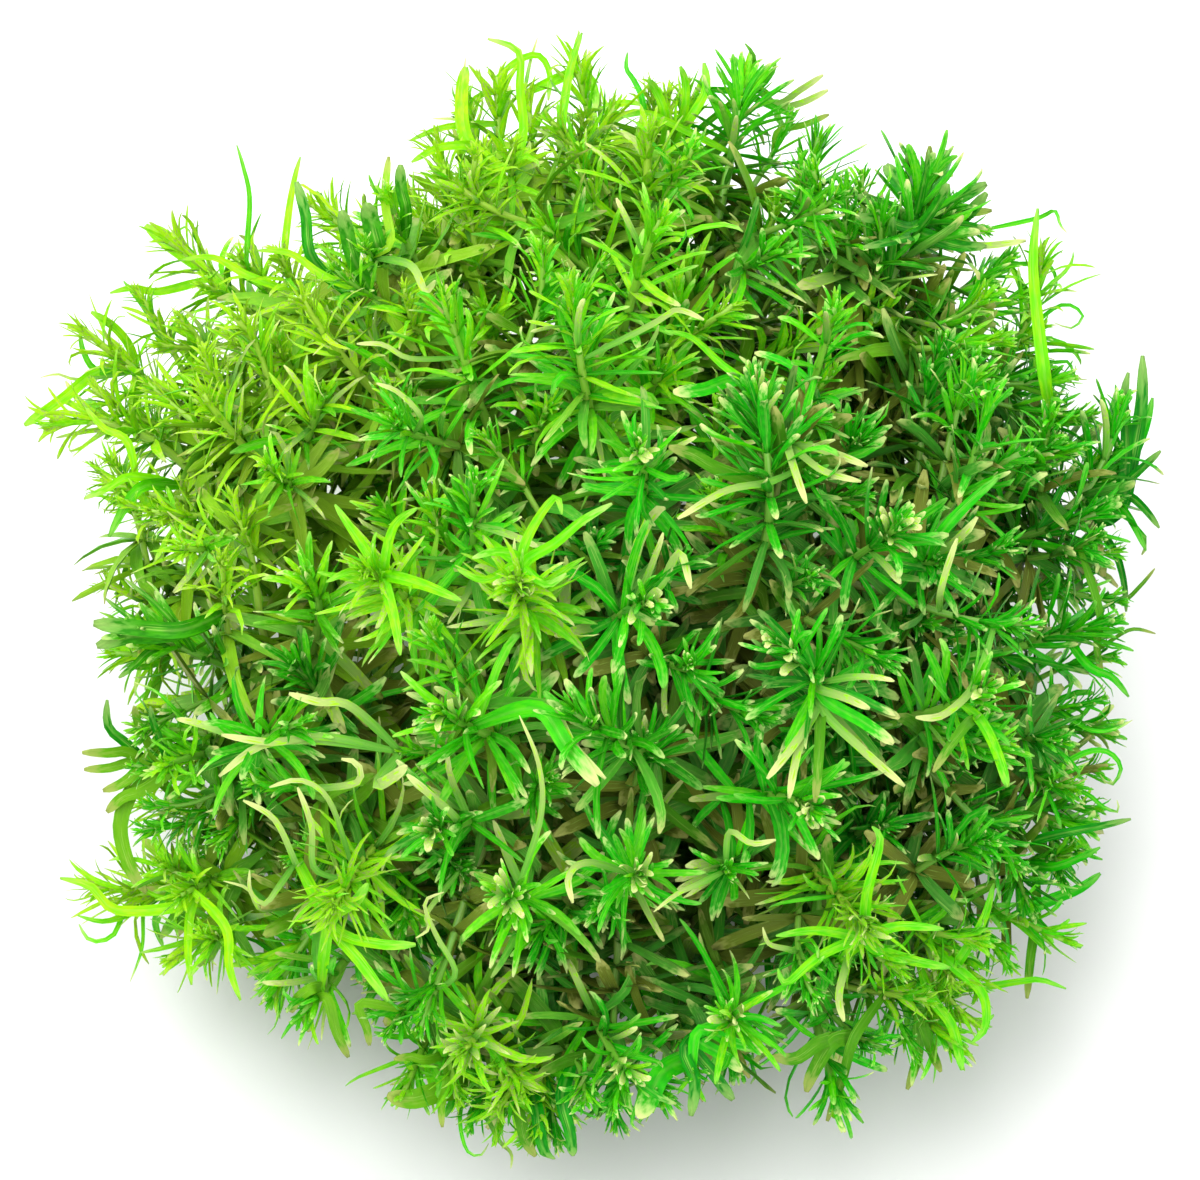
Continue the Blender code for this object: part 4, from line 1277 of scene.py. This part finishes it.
def tube_arrays(path, size, tone):
    """Points, values and faces of one jointed stem."""
    count = max(int(path.total / STEM_STEP), 4)
    points, values = [], []
    for index in range(count + 1):
        place = path.total * index / count
        point, axis, side = path.frame(place)
        radius = stem_radius(path, place, size) * (1.0 + NODE_SWELL * (index % 2))
        for corner in range(STEM_SIDES):
            points.append(point + outward(axis, side, corner * math.tau / STEM_SIDES) * radius)
            across = 2.0 * (1.0 - abs(corner / (0.5 * STEM_SIDES) - 1.0)) - 1.0
            values.append((index / count, across, tone, 1.0 - index / count, 1.0))
    columns = dict(zip(VALUE_NAMES, np.array(values).T))
    return np.array(points), columns, row_faces(1, count + 1, STEM_SIDES)


def growth_arrays(growth):
    """Points, values and faces of all that grows on one cut stem."""
    leaf_groups = ((growth.fine_leaves, FINE_STATIONS), (growth.coarse_leaves, COARSE_STATIONS))
    parts = [leaf_arrays(leaves, stations) for leaves, stations in leaf_groups if leaves]
    parts += [tube_arrays(*tube) for tube in growth.tubes]
    parts += [strand_arrays(*strand) for strand in growth.strands]
    starts = np.cumsum([0] + [len(points) for points, _, _ in parts])
    points = np.concatenate([points for points, _, _ in parts])
    values = {name: np.concatenate([columns[name] for _, columns, _ in parts]) for name in VALUE_NAMES}
    faces = np.concatenate([faces + start for (_, _, faces), start in zip(parts, starts)])
    return points, values, faces.astype(np.int32)


def fitted(points):
    """The points in their place in the frame, drawn back to the CAD's box and above the floor."""
    points = points + np.array(BUNCH_OFFSET)
    points -= BOX_SQUEEZE * (points - np.clip(points, *np.array(CAD_BOUNDS)))
    points[:, 2] = np.maximum(points[:, 2], FLOOR_CLEARANCE)
    return points


def map_places(values):
    """The place of every point on the piece's map, with room between neighbours: one strip for
    each tone and age of leaves, and stems in a row above them, by tone."""
    tone_step = np.floor(values["tone"] * TONE_STEPS).clip(0, TONE_STEPS - 1)
    age_step = np.floor(values["age"] * AGE_STEPS).clip(0, AGE_STEPS - 1)
    strip = tone_step * AGE_STEPS + age_step
    columns = TONE_STEPS * AGE_STEPS // MAP_ROWS
    rows = MAP_ROWS + STEM_ROW
    leaf_right = (strip % columns + 0.5 + 0.42 * values["across"]) / columns
    leaf_up = (strip // columns + 0.03 + 0.92 * values["along"]) / rows
    stem_right = 0.02 + 0.96 * values["tone"] + 0.01 * values["across"]
    stem_up = (MAP_ROWS + 0.05 + 0.4 * values["along"]) / rows
    woody = values["woody"] > 0.5
    return np.stack([np.where(woody, stem_right, leaf_right), np.where(woody, stem_up, leaf_up)], axis=-1)


def mark_crisp_edges(mesh, values):
    """Keeps both edges of the blades crisp where the rest is smooth."""
    ends = np.empty(2 * len(mesh.edges), dtype=np.int32)
    mesh.edges.foreach_get("vertices", ends)
    ends = ends.reshape(-1, 2)
    across = values["across"][ends] * (values["woody"][ends] < 0.5)
    crisp = (np.abs(across[:, 0]) > 0.9) & (across[:, 0] == across[:, 1])
    mesh.attributes.new("sharp_edge", "BOOLEAN", "EDGE").data.foreach_set("value", crisp)


def make_mesh(name, growth):
    """The mesh of one piece: leaves in the first material and stems in the second."""
    points, values, faces = growth_arrays(growth)
    mesh = bpy.data.meshes.new(name)
    mesh.vertices.add(len(points))
    mesh.vertices.foreach_set("co", fitted(points).astype(np.float32).ravel())
    mesh.loops.add(faces.size)
    mesh.loops.foreach_set("vertex_index", faces.ravel())
    mesh.polygons.add(len(faces))
    mesh.polygons.foreach_set("loop_start", np.arange(0, faces.size, 4, dtype=np.int32))
    woody = values["woody"][faces[:, 0]] > 0.5
    mesh.polygons.foreach_set("material_index", woody.astype(np.int32))
    mesh.update(calc_edges=True)
    for key in LEAF_VALUES:
        layer = mesh.attributes.new(key, "FLOAT", "POINT")
        layer.data.foreach_set("value", values[key].astype(np.float32))
    mark_crisp_edges(mesh, values)
    layer = mesh.uv_layers.new(name="OFBake")
    layer.uv.foreach_set("vector", map_places(values)[faces.ravel()].astype(np.float32).ravel())
    mesh.shade_smooth()
    mesh.validate()
    return mesh


class Nodes:
    """Short calls to build a node tree."""

    def __init__(self, material):
        material.use_nodes = True
        self.tree = material.node_tree
        self.shader = self.tree.nodes["Principled BSDF"]

    def put(self, socket, value):
        if isinstance(value, bpy.types.NodeSocket):
            self.tree.links.new(value, socket)
        else:
            socket.default_value = value

    def new(self, kind, *values, **settings):
        """A node with given settings, whose first inputs have given values or links."""
        node = self.tree.nodes.new(kind)
        for name, setting in settings.items():
            setattr(node, name, setting)
        for socket, value in zip(node.inputs, values):
            self.put(socket, value)
        return node

    def attribute(self, name):
        return self.new("ShaderNodeAttribute", attribute_name=name).outputs["Fac"]

    def math(self, operation, *values, clamp=False):
        return self.new("ShaderNodeMath", *values, operation=operation, use_clamp=clamp).outputs[0]

    def times(self, first, second):
        return self.math("MULTIPLY", first, second)

    def ranged(self, value, low, high, to_low=0.0, to_high=1.0):
        values = (value, low, high, to_low, to_high)
        return self.new("ShaderNodeMapRange", *values, interpolation_type="SMOOTHSTEP").outputs[0]

    def noise(self, x, y, z, scale, detail=2.0):
        node = self.new("ShaderNodeTexNoise")
        self.put(node.inputs["Vector"], self.new("ShaderNodeCombineXYZ", x, y, z).outputs[0])
        node.inputs["Scale"].default_value = scale
        node.inputs["Detail"].default_value = detail
        return node.outputs["Fac"]

    def ramp(self, value, stops):
        node = self.new("ShaderNodeValToRGB", value)
        elements = node.color_ramp.elements
        while len(elements) < len(stops):
            elements.new(1.0)
        for element, (place, colour) in zip(elements, stops):
            element.position = place
            element.color = (*colour, 1.0)
        return node.outputs["Color"]

    def mix(self, factor, first, second, blend="MIX"):
        node = self.new("ShaderNodeMix", data_type="RGBA", blend_type=blend)
        self.put(node.inputs["Factor"], factor)
        for socket, value in zip([s for s in node.inputs if s.type == "RGBA"], (first, second)):
            self.put(socket, value if isinstance(value, bpy.types.NodeSocket) else (*value, 1.0))
        return next(s for s in node.outputs if s.type == "RGBA")

    def bump(self, height, distance, strength):
        node = self.new("ShaderNodeBump")
        node.inputs["Distance"].default_value = distance
        node.inputs["Strength"].default_value = strength
        self.put(node.inputs["Height"], height)
        return node.outputs["Normal"]


def leaf_material(slot):
    """Leaves of one slot, coloured by each leaf's own tone and age and by the place on it."""
    material = bpy.data.materials.new(slot)
    nodes = Nodes(material)
    along, across, tone, age = (nodes.attribute(name) for name in LEAF_VALUES)
    seed = nodes.math("MULTIPLY_ADD", tone, 41.0, nodes.times(age, 17.0))
    streaks = nodes.noise(nodes.times(across, 3.0), along, seed, 2.2)
    mottle = nodes.noise(across, nodes.times(along, 6.0), seed, 1.6)
    strip = nodes.noise(seed, nodes.times(seed, 3.1), 0.5, 1.7, 0.0)
    highlight_streaks = nodes.noise(nodes.times(across, 2.2), nodes.times(along, 0.9), nodes.times(seed, 1.3), 2.6, 1.0)

    # Cream leaves run into green toward their base
    mottled = nodes.math("ADD", tone, nodes.ranged(mottle, 0.3, 0.7, -0.09, 0.09), clamp=True)
    tones = tuple(zip(TONE_PLACES, (CREAM_COLOUR, CREAM_COLOUR, *GREENS[slot])))
    green_base = nodes.times(nodes.math("LESS_THAN", tone, PALEST), nodes.ranged(along, 0.2, 0.85, 0.9, 0.0))
    colour = nodes.mix(green_base, nodes.ramp(mottled, tones), PALE_BASE)

    # Each strip of the map differs a little, and streaks run along every leaf
    colour = nodes.mix(nodes.ranged(strip, 0.35, 0.65, 0.35, 0.0), colour, STRIP_TINT, "MULTIPLY")
    colour = nodes.mix(nodes.ranged(streaks, 0.45, 0.75, 0.0, 0.35), colour, STREAK_TINT, "MULTIPLY")
    midrib = nodes.ranged(nodes.math("ABSOLUTE", across), 0.0, 0.35, 0.12, 0.0)
    colour = nodes.mix(midrib, colour, MIDRIB_COLOUR)

    # Leaves turn teal, then olive and partly brown
    teal = nodes.times(nodes.ranged(age, 0.3, 0.6), nodes.ranged(age, 0.9, 0.65))
    colour = nodes.mix(nodes.times(teal, 0.35), colour, TEAL_COLOUR)
    colour = nodes.mix(nodes.ranged(age, 0.45, 1.0, 0.0, 0.75), colour, OLD_COLOURS[slot])
    brown = nodes.times(nodes.ranged(strip, 0.48, 0.6), nodes.ranged(age, 0.5, 0.9, 0.0, 0.65))
    colour = nodes.mix(brown, colour, BROWN_COLOUR)
    # Pale streaks along some leaves are painted highlights
    colour = nodes.mix(nodes.ranged(highlight_streaks, 0.60, 0.74, 0.0, 0.30), colour, PAINTED_HIGHLIGHT_STREAK)

    # Their tips are pale, on some leaves more than on others: real pale tips, and on young leaves also
    # painted highlight specks
    tip = nodes.ranged(along, nodes.ranged(mottle, 0.3, 0.7, 0.62, 0.86), 1.0)
    paleness = nodes.ranged(nodes.math("MULTIPLY_ADD", age, 0.35, strip), 0.42, 0.72, 0.15, 0.95)
    tip_colour = nodes.mix(nodes.ranged(age, 0.2, 0.9), TIP_COLOUR, OLD_TIP_COLOUR)
    colour = nodes.mix(nodes.times(tip, paleness), colour, tip_colour)

    shader = nodes.shader
    nodes.put(shader.inputs["Base Color"], colour)
    nodes.put(shader.inputs["Roughness"], nodes.ranged(streaks, 0.3, 0.7, 0.26, 0.42))
    shader.inputs["IOR"].default_value = 1.42
    shader.inputs["Specular IOR Level"].default_value = 0.10
    nodes.put(shader.inputs["Normal"], nodes.bump(streaks, 0.12 * MM, 0.5))
    return material


def stem_material():
    """Stems, lime to deep green and brown toward their cut end."""
    material = bpy.data.materials.new("stem_skin")
    nodes = Nodes(material)
    along, across, tone, age = (nodes.attribute(name) for name in LEAF_VALUES)
    grain = nodes.noise(nodes.times(across, 2.0), nodes.times(along, 3.0), tone, 2.5, 4.0)
    colour = nodes.ramp(tone, STEM_TONES)
    colour = nodes.mix(nodes.ranged(age, 0.4, 1.0, 0.0, 0.8), colour, OLD_STEM_COLOUR)
    colour = nodes.mix(nodes.ranged(grain, 0.4, 0.7, 0.0, 0.3), colour, STEM_GRAIN_COLOUR)
    shader = nodes.shader
    nodes.put(shader.inputs["Base Color"], colour)
    nodes.put(shader.inputs["Roughness"], nodes.ranged(grain, 0.3, 0.7, 0.32, 0.5))
    nodes.put(shader.inputs["Normal"], nodes.bump(grain, 0.1 * MM, 0.4))
    return material


def add_object(name, data):
    thing = bpy.data.objects.new(name, data)
    bpy.context.scene.collection.objects.link(thing)
    return thing


def face_along(thing, direction):
    """Turns a light or a camera to look in a direction."""
    thing.rotation_mode = "QUATERNION"
    thing.rotation_quaternion = direction.to_track_quat("-Z", "Y")


def make_pieces():
    """One leafy piece in the place of each CAD solid."""
    slots = {part["node"]: part["material_slot"] for part in frame["record"]["subparts"]}
    materials = {slot: leaf_material(slot) for slot in GREENS}
    stem_skin = stem_material()
    for number, growth in enumerate(grow_all(), 1):
        node = f"stem_{number:02d}"
        mesh = make_mesh(f"leafy_{node}", growth)
        mesh.materials.append(materials[slots[node]])
        mesh.materials.append(stem_skin)
        piece = add_object(f"leafy_{node}", mesh)
        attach(piece, "root")
        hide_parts(node)


def make_floor():
    mesh = bpy.data.meshes.new("floor")
    corners = [(x * FLOOR_HALF, y * FLOOR_HALF, 0) for x, y in ((-1, -1), (1, -1), (1, 1), (-1, 1))]
    mesh.from_pydata(corners, [], [(0, 1, 2, 3)])
    material = bpy.data.materials.new("pale_floor")
    shader = Nodes(material).shader
    shader.inputs["Base Color"].default_value = FLOOR_COLOUR
    shader.inputs["Roughness"].default_value = FLOOR_ROUGHNESS
    mesh.materials.append(material)
    floor = add_object("floor", mesh)


def make_light():
    """An even pale world and three soft lights."""
    world = bpy.data.worlds.new("studio")
    world.use_nodes = True
    background = world.node_tree.nodes["Background"]
    background.inputs["Color"].default_value = (1.0, 1.0, 1.0, 1.0)
    background.inputs["Strength"].default_value = WORLD_STRENGTH
    bpy.context.scene.world = world
    for name, place, size, power in LIGHTS:
        data = bpy.data.lights.new(name, "AREA")
        data.shape = "DISK"
        data.size = size
        data.energy = power
        light = add_object(name, data)
        light.location = place
        face_along(light, SEEN_MIDDLE - Vector(place))


def make_camera():
    """The camera at the photo's viewing angle."""
    data = bpy.data.cameras.new("camera")
    data.sensor_width = SENSOR_WIDTH
    data.lens = SENSOR_WIDTH * SEEN_DISTANCE / PICTURE_WIDTH
    data.clip_start, data.clip_end = CLIP_DISTANCES
    camera = add_object("camera", data)
    right, up = PICTURE_CENTRE
    aim = SEEN_MIDDLE + BUNCH_OFFSET + Vector((right, 0.0, 0.0)) + SEEN_UP * up
    camera.location = aim + TOWARD_EYE * SEEN_DISTANCE
    face_along(camera, -TOWARD_EYE)
    bpy.context.scene.camera = camera


make_pieces()
make_floor()
make_light()
make_camera()
bpy.context.scene.view_settings.view_transform = "Standard"
